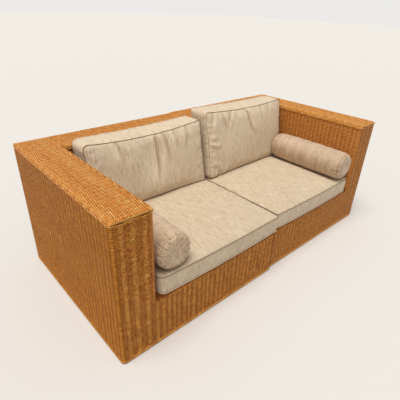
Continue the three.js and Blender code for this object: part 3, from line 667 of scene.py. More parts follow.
def top_row(plan, start, end, across, roll_start=True):
    """One straight row of the top, between two places on the line of its arcs' centres."""
    start, end, across = (np.array(value, float) for value in (start, end, across))
    axis = 0 if abs(end[0] - start[0]) > abs(end[1] - start[1]) else 1
    ahead = np.zeros(3)
    ahead[axis] = np.sign(end[axis] - start[axis])
    lines = (plan.x_lines, plan.y_lines)[axis]
    flat = samples_on(lines, start[axis], end[axis], False, False)
    centres = np.tile(start, (len(flat), 1))
    centres[:, axis] = flat
    parts = [(centres + EDGE_RADIUS * across, np.tile(across, (len(flat), 1)))]
    parts.append(rolled(end, across, ahead, ROLL_ANGLES))
    flat = np.concatenate([flat, end[axis] + ahead[axis] * EDGE_RADIUS * ROLL_ANGLES])
    if roll_start:
        back = ROLL_ANGLES[::-1]
        parts.insert(0, rolled(start, across, -ahead, back))
        flat = np.concatenate([start[axis] - ahead[axis] * EDGE_RADIUS * back, flat])
    surface, outward = (np.concatenate(part) for part in zip(*parts))
    return surface, outward, np.interp(flat, lines, np.arange(len(lines)))


def add_rope(skin, start, end, outward):
    """Two strands twisted round a straight line."""
    start, end, outward = (np.array(value, float) for value in (start, end, outward))
    length = np.linalg.norm(end - start)
    share = np.linspace(0, 1, max(4, round(length / ROPE_PITCH * ROPE_STEPS_PER_TURN)))
    line = start + (end - start) * share[:, None]
    across = np.cross(outward, unit(end - start))
    along = share * length
    for turn in (0.0, math.pi):
        angle = (along / ROPE_PITCH * 2 * math.pi + turn)[:, None]
        way = outward * np.cos(angle) + across * np.sin(angle)
        centres = line + way * ROPE_TURN_RADIUS
        skin.add(centres[None], way[None], ROPE_STRAND_RADIUS, ROPE_STRAND_HALF_WIDTH, along, 1.0)


def top_skin(plan):
    """The top of the arm and of the back, with its rounded edges, lip, stakes and ropes."""
    skin = Skin(plan, "top_weave", 5)
    middle = plan.top - EDGE_RADIUS
    near, far_x, far_y = EDGE_RADIUS, plan.width - EDGE_RADIUS, plan.depth - EDGE_RADIUS
    arm_edge, back_edge = plan.arm - EDGE_RADIUS, plan.back + EDGE_RADIUS
    count = round(EDGE_RADIUS * QUARTER / STRAND_PITCH)
    arcs = (np.arange(count) + 0.5) * QUARTER / count
    first = plan.count + LIP_STRANDS

    def arm_row(x, across, y=near):
        return top_row(plan, (x, y, middle), (x, far_y, middle), across, roll_start=y == near)

    def back_row(y, across):
        return top_row(plan, (plan.arm, y, middle), (far_x, y, middle), across, roll_start=False)

    arm_rows = [arm_row(near, (-math.cos(angle), 0, math.sin(angle))) for angle in arcs]
    arm_rows += [arm_row(x, UP) for x in rows_between(near, arm_edge)]
    arm_rows += [arm_row(x, UP, back_edge) for x in rows_between(arm_edge, plan.arm)]
    back_rows = [back_row(far_y, (0, math.cos(angle), math.sin(angle))) for angle in arcs]
    back_rows += [back_row(y, UP) for y in rows_between(back_edge, far_y)[::-1]]
    for rows in (arm_rows, back_rows):
        for number, (surface, outward, phase) in enumerate(rows):
            parity = np.array([first + number])
            skin.woven(surface[None], outward[None], phase, parity, distances(surface))
    for number, angle in enumerate(arcs):
        add_inner_edge_row(skin, plan, angle, np.array([first + number]))
    add_lip(skin, plan)
    add_top_stakes(skin, plan)
    z = plan.top - EDGE_RADIUS * (1 - math.cos(ROLL_ANGLES[-1])) - ROPE_SUNK
    start, over, rear = near - ROPE_OVERRUN, ROPE_OVERRUN, plan.depth - ROPE_INSET
    seam = plan.width - ROPE_INSET
    add_rope(skin, (start, ROPE_INSET, z), (arm_edge + over, ROPE_INSET, z), (0, -1, 0))
    add_rope(skin, (start, rear, z), (plan.arm + ROPE_REAR_OVERRUN, rear, z), (0, 1, 0))
    add_rope(skin, (seam, back_edge - over, z), (seam, far_y + over, z), (1, 0, 0))
    return skin


def add_inner_edge_row(skin, plan, angle, parity):
    """A row on the rounded inner edge: along the back, round the inside corner, along the arm."""
    cos, sin = math.cos(angle), math.sin(angle)
    drawn_in = EDGE_RADIUS * (1 - cos)
    arm, back = plan.arm - drawn_in, plan.back + drawn_in
    corners = [(plan.width - EDGE_RADIUS, back), (arm, back), (arm, EDGE_RADIUS)]
    path = Path(plan, corners, [0, INNER_CORNER_RADIUS, 0])
    middle = plan.top - EDGE_RADIUS
    surface, outward = (a[0] for a in path.wall([middle + EDGE_RADIUS * sin]))
    outward = outward * cos
    outward[:, 2] = sin
    seam = (plan.width - EDGE_RADIUS, plan.back + EDGE_RADIUS, middle)
    front = (plan.arm - EDGE_RADIUS, EDGE_RADIUS, middle)
    surface, outward = (np.concatenate(part) for part in zip(
        rolled(seam, (0, -cos, sin), (1, 0, 0), ROLL_ANGLES[::-1]),
        (surface, outward),
        rolled(front, (cos, 0, sin), (0, -1, 0), ROLL_ANGLES),
    ))
    turned = EDGE_RADIUS * ROLL_ANGLES / np.diff(plan.x_lines).mean()
    phase = [path.phase[0] + turned[::-1], path.phase, path.phase[-1] - turned]
    skin.woven(surface[None], outward[None], np.concatenate(phase), parity, distances(surface),
               depth=WAVE_DEPTH - INNER_LIP_PROUD * max(0.0, cos) ** 2)


def add_lip(skin, plan):
    """The top's turned-down lip: level rows round the outside, prouder ones round the inside."""
    levels = plan.lip + LIP_PITCH * (np.arange(LIP_STRANDS) + 0.5)
    parity = plan.count + np.arange(LIP_STRANDS)
    turn = plan.width - SEAM_CORNER_RADIUS
    front_start = (plan.arm - CORNER_RADIUS, 0)
    outside = [front_start, (0, 0), (0, plan.depth), (plan.width, plan.depth)]
    outside += [(plan.width, plan.back), (turn, plan.back)]
    radii = [0, CORNER_RADIUS, CORNER_RADIUS, SEAM_CORNER_RADIUS, SEAM_CORNER_RADIUS, 0]
    skin.woven_on(Path(plan, outside, radii), levels, parity)
    inside = [(turn, plan.back), (plan.arm, plan.back), (plan.arm, 0), front_start]
    path = Path(plan, inside, [0, INNER_CORNER_RADIUS, CORNER_RADIUS, 0])
    skin.woven_on(path, levels, parity, swing=INNER_LIP_SWING, depth=WAVE_DEPTH - INNER_LIP_PROUD)


def add_top_stakes(skin, plan):
    """Stakes that cross the arm top from lip to lip, and the back top likewise."""
    angles = np.concatenate([[0], np.linspace(0, QUARTER, 4)])
    middle, down = plan.top - EDGE_RADIUS, EDGE_RADIUS - WAVE_DEPTH
    far_y = plan.depth - EDGE_RADIUS

    def edge(x, y, way):
        """From the lip up over a rounded edge."""
        out = np.outer(np.cos(angles), way) + np.outer(np.sin(angles), UP)
        line = np.array([x, y, middle]) + down * out
        line[0, 2] = plan.lip
        return line, out

    def cross(start, end):
        line, out = (np.concatenate([a, b[::-1]]) for a, b in zip(start, end))
        along = distances(line)
        skin.add(line[None], out[None], STAKE_HALF_DEPTH, STAKE_HALF_WIDTH, along)

    for y in plan.y_lines:
        if EDGE_RADIUS < y < far_y:
            inner = edge(plan.arm - EDGE_RADIUS, y, (1, 0, 0))
            if y >= plan.back:
                inner = np.array([[plan.arm, y, middle + down]]), np.array([UP])
            cross(edge(EDGE_RADIUS, y, (-1, 0, 0)), inner)
    for x in plan.x_lines:
        if plan.arm < x < plan.width - EDGE_RADIUS:
            cross(edge(x, plan.back + EDGE_RADIUS, (0, -1, 0)), edge(x, far_y, (0, 1, 0)))


def woven_skins(plan):
    """The module's woven pieces."""
    depth, arm, back = plan.depth, plan.arm, plan.back
    left = CORNER_RADIUS + SKIN_JOINT
    seam = plan.width - SEAM_CORNER_RADIUS - SKIN_JOINT
    yield wall_skin(plan, "arm_outer_weave", 4, [
        (CORNER_RADIUS, 0), (0, 0), (0, depth), (CORNER_RADIUS, depth),
    ], [0, CORNER_RADIUS, CORNER_RADIUS, 0])
    yield front_skin(plan, left, seam)
    yield wall_skin(plan, "back_outer_weave", 4, [(left, depth), (seam, depth)])
    yield seam_skin(plan)
    yield panel_skin(plan, "arm_inner_weave", 5, [
        (arm, back + 2 * WAVE_DEPTH), (arm, 0), (arm - CORNER_RADIUS, 0),
    ], [0, CORNER_RADIUS, 0])
    yield panel_skin(plan, "back_inner_weave", 4, [(seam, back), (arm + SKIN_JOINT, back)])
    yield top_skin(plan)


# Which copy of the rattan each woven piece takes; the copies differ by painted light and shade for
# the way their faces turn to the light
LOOKS = {
    "top_weave": "top", "front_weave": "front", "arm_inner_weave": "inner",
    "back_inner_weave": "inner",
}


def weave_module(plan, materials):
    for skin in woven_skins(plan):
        piece = link_piece(skin.name, skin.mesh(plan), materials[LOOKS.get(skin.node, "wall")])
        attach(piece, plan.body)
        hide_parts(f"{plan.side}_{skin.node}")


# Cushions and bolsters

CLOTH_STEP = 11 * MM
PIPING_RADIUS = 3.0 * MM
PIPING_CORD_RADIUS = 1.9 * MM
PIPING_PROUD = 0.8 * MM
PIPING_SUNK = 3.2 * MM
PIPING_SIDES = 8
LOWER_PIPING_MARK = 4.0
SEAM_INSET = 2 * PIPING_RADIUS
BOXING_BULGE = 3 * MM
SEAT_BOXING_BULGE = 1.5 * MM
CROWN_POWER = 2.8
SHOULDER_POWER = 26
SIMULATION_FRAMES = 18
CLOTH_MOVE_CAP = 9 * MM
CLOTH_SIDE_CAP = 2.5 * MM
SEAT_SIDE_CAP = 1.0 * MM
CLOTH_HOLD = 0.12
CLOTH_GROWTH = 0.02
CLOTH_SETTINGS = {
    "quality": 5, "mass": 0.25, "tension_stiffness": 12, "compression_stiffness": 12,
    "shear_stiffness": 4, "bending_stiffness": 0.35, "use_pressure": True,
    "uniform_pressure_force": 4.0, "shrink_min": -CLOTH_GROWTH, "pin_stiffness": 1.0,
}
SEAM_CALM = 6 * MM
SWELL_FADE = 40 * MM
SIDE_PUCKER = 0.8
SIDE_PUCKER_REACH = 0.6

SEAT_BOXING = 104 * MM
SEAT_CROWN = 15 * MM
SEAT_CORNERS = (34 * MM, 12 * MM, 12 * MM, 34 * MM)
SEAT_PULL_IN = (-7 * MM, -2.2 * MM, 5 * MM, 5 * MM)
SEAT_FRONT_DROP = 5 * MM
SEAT_FRONT_REACH = 22 * MM
SEAT_FRONT_POWER = 1.5
SEAT_SEAM_WANDER = 0.6 * MM
SEAT_PUCKER = (1.6 * MM, 22 * MM, (0.07, 0.043, 0.029))
SEAT_SWELL = (16, 2.5 * MM, 0.13)
BACK_CROWN = 20 * MM
BACK_REAR_CROWN = 6 * MM
BACK_PULL_IN = (0.0, 3 * MM, 7 * MM, 7 * MM)
BACK_SEAM_WANDER = 1.4 * MM
BACK_PUCKER = (4.5 * MM, 40 * MM, (0.11, 0.062, 0.037))
BACK_SWELL = (26, 8 * MM, 0.09)
CUSHION_REST = 0.8 * MM
PRESS_FADE = 30 * MM
ROLL_PRESS_EDGE, ROLL_PRESS_FADE = 0.95, 0.3

# A sewn line's waves along the panel and up from it, and how a ripple's waves are varied and bent
SEAM_WAVES, SEAM_RISE_WAVES = (0.34, 0.17, 0.09), (0.4, 0.19, 0.08)
RIPPLE_LENGTHS, RIPPLE_SIZES = (0.85, 1.15), (0.5, 1.0)
RIPPLE_BEND, RIPPLE_BEND_LENGTH = 0.6, 5.3

# Shape of a long fold: how far it bows, how fast it rises and fades, and the hollow beside it; and
# how high a fold must be for its full painted shade and highlight
FULL_SHADE_FOLD = 9 * MM
FOLD_BOW = 0.06
FOLD_RISE, FOLD_FADE = 6, 2.2
FOLD_HOLLOW, FOLD_HOLLOW_PLACE = 0.75, 1.7
FOLD_SEAM_CALM = 8 * MM

# How each back cushion is made and placed. A fold runs between two places of the front, given as
# x and y shares from -1 to 1 towards the seam and upwards, and has a height and a width in mm.
BACKS = {
    "left": {
        "height": 390 * MM, "boxing": 138 * MM, "rear_gap": 2 * MM, "rise": 0.0, "turn": 0.0,
        "lean": 76 * MM, "droop": 17 * MM, "corners": (30 * MM, 14 * MM, 14 * MM, 30 * MM),
        "folds": [
            (0.02, 1.0, -0.04, -0.75, 12, 13), (0.16, 0.98, 0.2, -0.3, 9, 14),
            (-0.62, 0.98, -0.55, 0.0, 8, 15), (0.62, 1.0, 0.55, 0.25, 8, 12),
            (0.36, 1.0, 0.4, 0.1, 7, 12), (0.99, -0.3, 0.8, -0.36, 5, 10),
            (0.99, 0.3, 0.82, 0.22, 5, 10),
        ],
    },
    "right": {
        "height": 423 * MM, "boxing": 158 * MM, "rear_gap": 5 * MM, "rise": 20 * MM,
        "turn": 18 * MM, "lean": 76 * MM, "droop": 10 * MM, "corners": (18 * MM,) * 4,
        "folds": [
            (-0.02, 1.0, -0.22, -0.1, 12, 12), (0.32, 1.0, 0.5, 0.25, 7, 12),
            (0.58, 0.98, 0.46, 0.3, 8, 12), (0.78, 0.98, 0.84, 0.35, 7, 11),
            (-0.46, 0.98, -0.44, 0.3, 5, 13), (-0.7, 0.98, -0.62, 0.4, 5, 14),
            (0.99, 0.66, 0.86, 0.6, 4, 9), (0.99, 0.3, 0.78, 0.22, 6, 9),
            (0.99, 0.1, 0.68, -0.02, 7, 10), (0.99, -0.24, 0.84, -0.28, 4, 9),
            (0.99, -0.5, 0.76, -0.6, 5, 10), (0.88, -0.98, 0.85, -0.66, 8, 9),
            (0.66, -0.98, 0.6, -0.7, 6, 11),
        ],
    },
}


def hump(share):
    """0 at both ends of a length and 1 in its middle."""
    return 4 * share * (1 - share)


def bowed(place, half, low, high):
    """The hump of a side's straight part. low and high are the radii of its corners."""
    return hump(np.clip((place + half - low) / (2 * half - low - high), 0, 1))


def rounded_rim(across, deep, half_width, half_depth, radii, pull):
    """Where points on a rectangle's sides lie with its corners rounded and its sides drawn in.

    pull holds front, right, rear and left, and radii the corner at the start of each of those.
    """
    x, y = across * half_width, deep * half_depth
    to_x, to_y = half_width - np.abs(x), half_depth - np.abs(y)
    reach = to_x + to_y
    by_x = lambda left, right: np.where(x < 0, left, right)
    radius = np.where(y < 0, by_x(radii[0], radii[1]), by_x(radii[3], radii[2]))
    near = reach < radius
    turn = QUARTER / 2 * (1 - np.minimum(reach, radius) / radius)
    flat = to_y < to_x
    arc_x = half_width - radius + radius * np.where(flat, np.sin(turn), np.cos(turn))
    arc_y = half_depth - radius + radius * np.where(flat, np.cos(turn), np.sin(turn))
    front, right, rear, left = pull
    bow_y = np.where(y > 0, rear * bowed(x, half_width, radii[3], radii[2]),
                     front * bowed(x, half_width, radii[0], radii[1]))
    bow_x = np.where(x > 0, right * bowed(y, half_depth, radii[1], radii[2]),
                     left * bowed(y, half_depth, radii[0], radii[3]))
    rim_x = np.where(near, np.sign(x) * arc_x, x - np.sign(x) * np.where(flat, 0, bow_x))
    rim_y = np.where(near, np.sign(y) * arc_y, y - np.sign(y) * np.where(flat, bow_y, 0))
    return rim_x, rim_y


def fall(share_x, share_y, power):
    """1 in a rectangle's middle and 0 on its sides, the steeper there the higher the power."""
    sides = (1 - np.minimum(np.abs(share), 1) ** power for share in (share_x, share_y))
    return math.prod(sides)


class Cushion:
    """A boxed cushion lying flat, x across, y deep and z up from its underside, as a cloth grid."""

    def __init__(self, plan, kind, size, crown, under_crown, corners, pull):
        self.name = f"{plan.side}_{kind}_cushion_cloth"
        self.chance = plan.chance(self.name)
        self.width, self.depth, self.boxing = size
        self.half = np.array([self.width, self.depth]) / 2
        self.lies_flat = under_crown == 0
        self.folds, self.sunk_side = (), False
        nx, ny, boxing_rows = (round(length / CLOTH_STEP) for length in size)
        self.levels = max(4, boxing_rows)
        u, v = np.meshgrid(np.linspace(-1, 1, nx + 1), np.linspace(-1, 1, ny + 1), indexing="ij")
        t = np.maximum(np.maximum(np.abs(u), np.abs(v)), 1e-6)
        rim = rounded_rim(u / t, v / t, *(self.half - PIPING_RADIUS), corners, pull)
        x, y = rim[0] * t, rim[1] * t
        self.panel_rim = np.stack([side.ravel() for side in rim], 1)
        self.seam_distance = ((1 - t) * np.hypot(*rim)).ravel()
        shares = x / self.half[0], y / self.half[1]
        low, high = SEAM_INSET, self.boxing - SEAM_INSET
        shoulder = fall(u, v, SHOULDER_POWER)
        top = high + SEAM_INSET * shoulder + crown * fall(*shares, CROWN_POWER)
        under = low * (1 - shoulder) - under_crown * fall(*shares, CROWN_POWER)
        index = np.arange(x.size).reshape(x.shape)
        ring = np.concatenate([index[:-1, 0], index[-1, :-1], index[:0:-1, -1], index[0, :0:-1]])
        cloth = np.stack([x.ravel(), y.ravel()], 1)
        self.rim = cloth[ring]
        step = unit(np.roll(self.rim, -1, axis=0) - np.roll(self.rim, 1, axis=0))
        self.rim_out = np.stack([step[:, 1], -step[:, 0]], 1)
        points = [np.column_stack([cloth, z.ravel()]) for z in (top, under)]
        bulge = SEAT_BOXING_BULGE if self.lies_flat else BOXING_BULGE
        for share in np.arange(1, self.levels) / self.levels:
            z = np.full(len(ring), low + (high - low) * share)
            points.append(np.column_stack([self.rim + self.rim_out * bulge * hump(share), z]))
        self.points = np.concatenate(points)
        self.pressed = np.zeros(index.size)
        self.shade = np.zeros(len(self.points))
        self.top_count, self.ring_count = index.size, len(ring)
        self.seam_top, self.seam_under = ring, ring + index.size
        self.make_faces(index, cloth, low, high)

    def make_faces(self, index, cloth, low, high):
        """The faces of both panels and of the boxing, with the cloth's map in metres."""
        top = np.stack([index[:-1, :-1], index[1:, :-1], index[1:, 1:], index[:-1, 1:]], -1)
        top = top.reshape(-1, 4)
        offset = self.chance.uniform(0, 4, 2)
        faces = [top, top[:, ::-1] + self.top_count]
        maps = [cloth[top] + offset, cloth[top[:, ::-1]] + offset + (3, 0)]
        rings = [self.seam_under, *self.boxing_points()[0], self.seam_top]
        along = distances(closed(self.rim))
        corner_u = np.stack([along[:-1], along[1:], along[1:], along[:-1]], -1)
        levels = low + (high - low) * np.arange(self.levels + 1) / self.levels
        for lower, upper, z0, z1 in zip(rings[:-1], rings[1:], levels[:-1], levels[1:]):
            faces.append(np.stack([lower, np.roll(lower, -1), np.roll(upper, -1), upper], -1))
            corner_v = np.broadcast_to([z0, z0, z1, z1], corner_u.shape)
            maps.append(np.stack([corner_u, corner_v], -1) + offset + (0, 2))
        self.faces, self.maps = np.concatenate(faces), np.concatenate(maps)

    def boxing_points(self):
        """The numbers of the points in each ring of the boxing, and each ring's share of height."""
        count = (self.levels - 1) * self.ring_count
        rings = 2 * self.top_count + np.arange(count).reshape(self.levels - 1, self.ring_count)
        return rings, np.arange(1, self.levels) / self.levels

    def pucker(self, size, reach, wavelengths):
        """Gathers the cloth beside its seams into small folds that run away from them."""
        def fade(gap, reach):
            return np.exp(-gap / reach) * (1 - np.exp(-gap / SEAM_CALM))

        rise = Ripple(self.chance, wavelengths)(self.panel_rim) * size
        rise *= fade(self.seam_distance, reach)
        self.points[:self.top_count, 2] += rise
        if not self.lies_flat:
            self.points[self.top_count:2 * self.top_count, 2] -= rise
        for side in (0.0, 1.0):
            rise = Ripple(self.chance, wavelengths)(self.rim) * size * SIDE_PUCKER
            for ring, share in zip(*self.boxing_points()):
                here = fade(abs(share - side) * self.boxing, reach * SIDE_PUCKER_REACH)
                self.points[ring, :2] += self.rim_out * (rise * here)[:, None]

    def swell_softly(self, count, size, reach):
        """Uneven filling: soft lumps and hollows on the crowned side."""
        rise = np.zeros(self.top_count)
        for _ in range(count):
            middle = self.chance.uniform(-self.half, self.half)
            away = (self.points[:self.top_count, :2] - middle) / reach
            rise += self.chance.uniform(-1, 1) * size * np.exp(-(away ** 2).sum(1))
        self.points[:self.top_count, 2] += rise * (1 - np.exp(-self.seam_distance / SWELL_FADE))

    def crease(self, x0, y0, x1, y1, height, width):
        """A soft fold of the crowned side from one place to another."""
        start = np.array([x0, y0]) * self.half
        length = np.linalg.norm(np.array([x1, y1]) * self.half - start)
        ahead = (np.array([x1, y1]) * self.half - start) / length
        away = self.points[:self.top_count, :2] - start
        along = away @ ahead / length
        bow = FOLD_BOW * length * np.sin(np.clip(along, 0, 1) * math.pi)
        aside = (away @ np.array([-ahead[1], ahead[0]]) - bow) / (width * MM)
        window = np.clip(np.minimum(along * FOLD_RISE, (1 - along) * FOLD_FADE), 0, 1)
        window = window * window * (3 - 2 * window)
        ridge = np.exp(-aside ** 2) - FOLD_HOLLOW * np.exp(-(aside - FOLD_HOLLOW_PLACE) ** 2)
        near = 1 - np.exp(-self.seam_distance / FOLD_SEAM_CALM)
        rise = height * MM * ridge * window * near
        self.points[:self.top_count, 2] += rise
        # Painted shade in the fold's hollow and painted highlight on its ridge, by its height
        self.shade[:self.top_count] += rise / FULL_SHADE_FOLD

    def hang_front(self, drop, reach):
        """Lets the front's lower edge hang over the edge that the cushion rests on."""
        _, y, z = self.points.T
        near = np.clip(1 - (y + self.half[1]) / reach, 0, 1) ** SEAT_FRONT_POWER
        low = np.clip(1 - z / (self.boxing - 2 * SEAM_INSET), 0, 1)
        low[:self.top_count] = 0
        self.points[:, 2] -= drop * near * low

    def sag_seam(self, droop, bulge):
        """Lets the crowned side's far seam hang in the middle, while the boxing stays full."""
        sway = lambda x: 1 - np.minimum(np.abs(x) / self.half[0], 1) ** 2
        top = self.points[:self.top_count]
        top[:, 1] -= droop * sway(top[:, 0]) * np.clip(top[:, 1] / self.half[1], 0, 1) ** 2
        far = np.clip(self.rim_out[:, 1], 0, 1)
        for ring, share in zip(*self.boxing_points()):
            swing = sway(self.points[ring, 0]) * far
            self.points[ring, 1] += swing * (bulge * hump(share) - droop * share)

    def unsettle_seams(self, size):
        """Small wanderings of the sewn lines."""
        for seam in (self.seam_top, self.seam_under):
            ripple = Ripple(self.chance, SEAM_WAVES)
            self.points[seam, :2] += self.rim_out * (ripple(self.rim) * size)[:, None]
            if not (self.lies_flat and seam is self.seam_under):
                ripple = Ripple(self.chance, SEAM_RISE_WAVES)
                self.points[seam, 2] += ripple(self.rim) * size


class Ripple:
    """A sum of waves over a plane, with random starts and sizes."""

    def __init__(self, chance, wavelengths):
        self.waves = [
            (axis, wavelength * chance.uniform(*RIPPLE_LENGTHS), chance.uniform(0, 2 * math.pi),
             chance.uniform(*RIPPLE_SIZES))
            for wavelength in wavelengths for axis in (0, 1)
        ]

    def __call__(self, places):
        total = np.zeros(len(places))
        for axis, wavelength, start, size in self.waves:
            place = places[:, axis] * 2 * math.pi / wavelength
            bend = RIPPLE_BEND * np.sin(place / RIPPLE_BEND_LENGTH + 2 * start)
            total += size * np.sin(place + start + bend)
        return total / len(self.waves) * 2


def tube(lines, radius, sides):
    """A tube round each closed line of points, which comes with the outward direction there."""
    points, faces, maps = [], [], []
    base = 0
    angle = np.arange(sides)[:, None] * 2 * math.pi / sides
    for line, outward in lines:
        ahead = unit(np.roll(line, -1, axis=0) - np.roll(line, 1, axis=0))
        out = unit(outward - ahead * (outward * ahead).sum(1)[:, None])
        across = np.cross(out, ahead)
        ring = out[:, None] * np.cos(angle) + across[:, None] * np.sin(angle)
        points.append((line[:, None] + radius * ring).reshape(-1, 3))
        s, k = np.meshgrid(np.arange(len(line)), np.arange(sides), indexing="ij")
        s, k = np.stack([s, s + 1, s + 1, s], -1), np.stack([k, k, k + 1, k + 1], -1)
        faces.append(base + s % len(line) * sides + k % sides)
        around = k * 2 * math.pi * radius / sides + len(maps) * LOWER_PIPING_MARK
        maps.append(np.stack([distances(closed(line))[s], around], -1))
        base += len(line) * sides
    faces = np.concatenate([group.reshape(-1, 4) for group in faces])
    maps = np.concatenate([group.reshape(-1, 4, 2) for group in maps])
    return np.concatenate(points), faces, maps


def piping_object(cushion, place, mirrored, material):
    """The cords along the cushion's two seams."""
    outward = np.column_stack([cushion.rim_out, np.zeros(cushion.ring_count)])
    lines = []
    for seam in (cushion.seam_top, cushion.seam_under):
        line = cushion.points[seam]
        start = place(line)
        way = unit(place(line + outward * 0.01) - start)
        sunk = (outward[:, 0] > 0.5) & cushion.sunk_side
        lines.append((start + way * np.where(sunk, -PIPING_SUNK, PIPING_PROUD)[:, None], way))
    points, faces, maps = tube(lines, PIPING_CORD_RADIUS, PIPING_SIDES)
    name = cushion.name + "_piping"
    mesh = new_mesh(name, points, [faces], "Cloth", [maps], mirrored)
    return link_piece(name, mesh, material)


def seat_cushion_shape(plan):
    """The seat cushion and the call that moves its flat points into the module's frame."""
    low, high = plan.box_of("seat_cushion")
    size = (*(high - low)[:2], SEAT_BOXING)
    cushion = Cushion(plan, "seat", size, SEAT_CROWN, 0.0, SEAT_CORNERS, SEAT_PULL_IN)
    cushion.hang_front(SEAT_FRONT_DROP, SEAT_FRONT_REACH)
    cushion.unsettle_seams(SEAT_SEAM_WANDER)
    cushion.pucker(*SEAT_PUCKER)
    cushion.swell_softly(*SEAT_SWELL)
    middle = np.array([*(low + high)[:2] / 2, low[2]])
    press(plan, cushion, middle)
    return cushion, lambda points: points + middle


def press(plan, cushion, middle):
    """Smooths the seat where the back cushion and the bolster lie on it."""
    back = BACKS[plan.side]
    top = cushion.points[:cushion.top_count] + middle
    front = plan.back - back["rear_gap"] - back["lean"] - back["boxing"] - BACK_CROWN
    low, high = plan.box_of("bolster")
    aside = np.abs(top[:, 0] - (low[0] + high[0]) / 2) / ((high[0] - low[0]) / 2)
    beyond = np.maximum(low[1] - top[:, 1], 0)
    under_back = np.clip((top[:, 1] - front) / PRESS_FADE + 1, 0, 1)
    under_roll = np.clip((ROLL_PRESS_EDGE - aside) / ROLL_PRESS_FADE, 0, 1)
    under_roll *= np.clip(1 - beyond / PRESS_FADE, 0, 1)
    cushion.pressed = np.maximum(under_back, under_roll)
    calm = seat_surface(plan)(top[:, 0], top[:, 1]) - middle[2]
    height = cushion.points[:cushion.top_count, 2]
    height -= cushion.pressed * np.maximum(height - calm, 0)


def seat_surface(plan):
    """Height of the seat cushion's crowned top at places in the module's frame."""
    low, high = plan.box_of("seat_cushion")
    middle, half = (low + high) / 2, (high - low) / 2

    def height(x, y):
        shares = (x - middle[0]) / half[0], (y - middle[1]) / half[1]
        return low[2] + SEAT_BOXING + SEAT_CROWN * fall(*shares, CROWN_POWER)

    return height


def back_cushion_shape(plan):
    """The back cushion, sewn flat and then stood on the seat and leant to the rear."""
    back = BACKS[plan.side]
    low, high = plan.box_of("back_cushion")
    size, crowns = (high[0] - low[0], back["height"], back["boxing"]), (BACK_CROWN, BACK_REAR_CROWN)
    cushion = Cushion(plan, "back", size, *crowns, back["corners"], BACK_PULL_IN)
    cushion.sag_seam(back["droop"], back["droop"] / 2)
    cushion.unsettle_seams(BACK_SEAM_WANDER)
    cushion.pucker(*BACK_PUCKER)
    cushion.swell_softly(*BACK_SWELL)
    cushion.folds = back["folds"]
    cushion.sunk_side = plan.side == "right"
    surface = seat_surface(plan)
    middle = (low[0] + high[0]) / 2
    rear = plan.back - back["rear_gap"] - back["lean"]
    peak = plan.seat_top + SEAT_CROWN + back["height"]

    def place(points):
        x, up = points[:, 0] + middle, points[:, 1] / back["height"] + 0.5
        across = points[:, 0] / cushion.width
        y = rear - points[:, 2] + back["lean"] * up - back["turn"] * across
        rest = surface(x, y) + CUSHION_REST
        return np.column_stack([x, y, rest + (peak + back["rise"] * across - rest) * up])

    return cushion, place


BOLSTER_SIDES = 224
BOLSTER_BODY_ROWS = 72
BOLSTER_END_ROWS = 56
BOLSTER_SMOOTHINGS = 4
BOLSTER_SINK = 3 * MM
BOLSTER_GATHERS = 30
BOLSTER_SEAM = 0.98
BOLSTER_SEAM_DEPTH = 2.2 * MM
BOLSTER_SEAM_WIDTH = 3.5 * MM
BOLSTER_DISC_TURN = math.radians(50)
# Groove depth that gets the full painted shade
BOLSTER_SHADE_DEPTH = 3.6 * MM
BOLSTER_RIPPLE_DEPTH = 1.6 * MM
BOLSTER_WAVES = (0.19, 0.083, 0.047)
BOLSTER_WAVE_STRETCH = 0.35
# A gather starts and ends at these shares of the radius, and turns by up to so much in a metre
GATHER_STARTS, GATHER_ENDS = (0.45, 0.85), (1.1, 1.7)
GATHER_STRAY, GATHER_TURN = 0.4, 3.0
GATHER_WIDTHS, GATHER_DEPTHS = (2.5 * MM, 6.0 * MM), (0.8 * MM, 2.6 * MM)
GATHER_RISE, GATHER_FADE = 12 * MM, 30 * MM
GATHER_HOLLOW, GATHER_HOLLOW_PLACE = 0.5, 1.8
GATHER_LEAST_RADIUS = 0.1
WRINKLE_LENGTHS, WRINKLE_WIDTHS = (7 * MM, 22 * MM), (1.3 * MM, 2.6 * MM)
WRINKLE_DEPTHS = (-0.5, 1.0)
# Wrinkles reach from an end's middle this many radii on to the body, and fade over the last part
CRUMPLE_REACH, CRUMPLE_FADE, CRUMPLE_SPREAD = 1.7, 0.5, 1.5
# Shares of the radius, and millimetres in from a bolster's end
BOLSTER_END = ((0.0, 7), (0.15, 4), (0.35, 1), (0.55, 0), (0.72, 1.5), (0.84, 5), (0.92, 11),
               (0.97, 19), (0.99, 27), (1.0, 40))
# How far the ends are rounded, how much thinner the body is there, and how they are crumpled
BOLSTERS = {
    "left": {"rounding": 0.8, "taper": 0.03, "crumple": 3.0 * MM, "wrinkles": 360},
    "right": {"rounding": 1.3, "taper": 0.07, "crumple": 1.4 * MM, "wrinkles": 200},
}


def bolster_profile(radius, half, rounding):
    """Radius and place along the bolster of each ring, from one end's middle to the other's."""
    end = np.array(BOLSTER_END) * (radius, rounding * MM)
    length = distances(end)
    steps = np.linspace(0, length[-1], BOLSTER_END_ROWS)
    end = np.stack([np.interp(steps, length, column) for column in end.T])
    for _ in range(BOLSTER_SMOOTHINGS):
        end[:, 1:-1] = (end[:, :-2] + 2 * end[:, 1:-1] + end[:, 2:]) / 4
    end_radius, end_place = end
    reach = half - end_place[-1]
    body = np.linspace(-reach, reach, BOLSTER_BODY_ROWS)[1:-1]
    along = np.concatenate([-half + end_place, body, (half - end_place)[::-1]])
    ring = np.concatenate([end_radius, np.full(len(body), radius), end_radius[::-1]])
    return ring, along


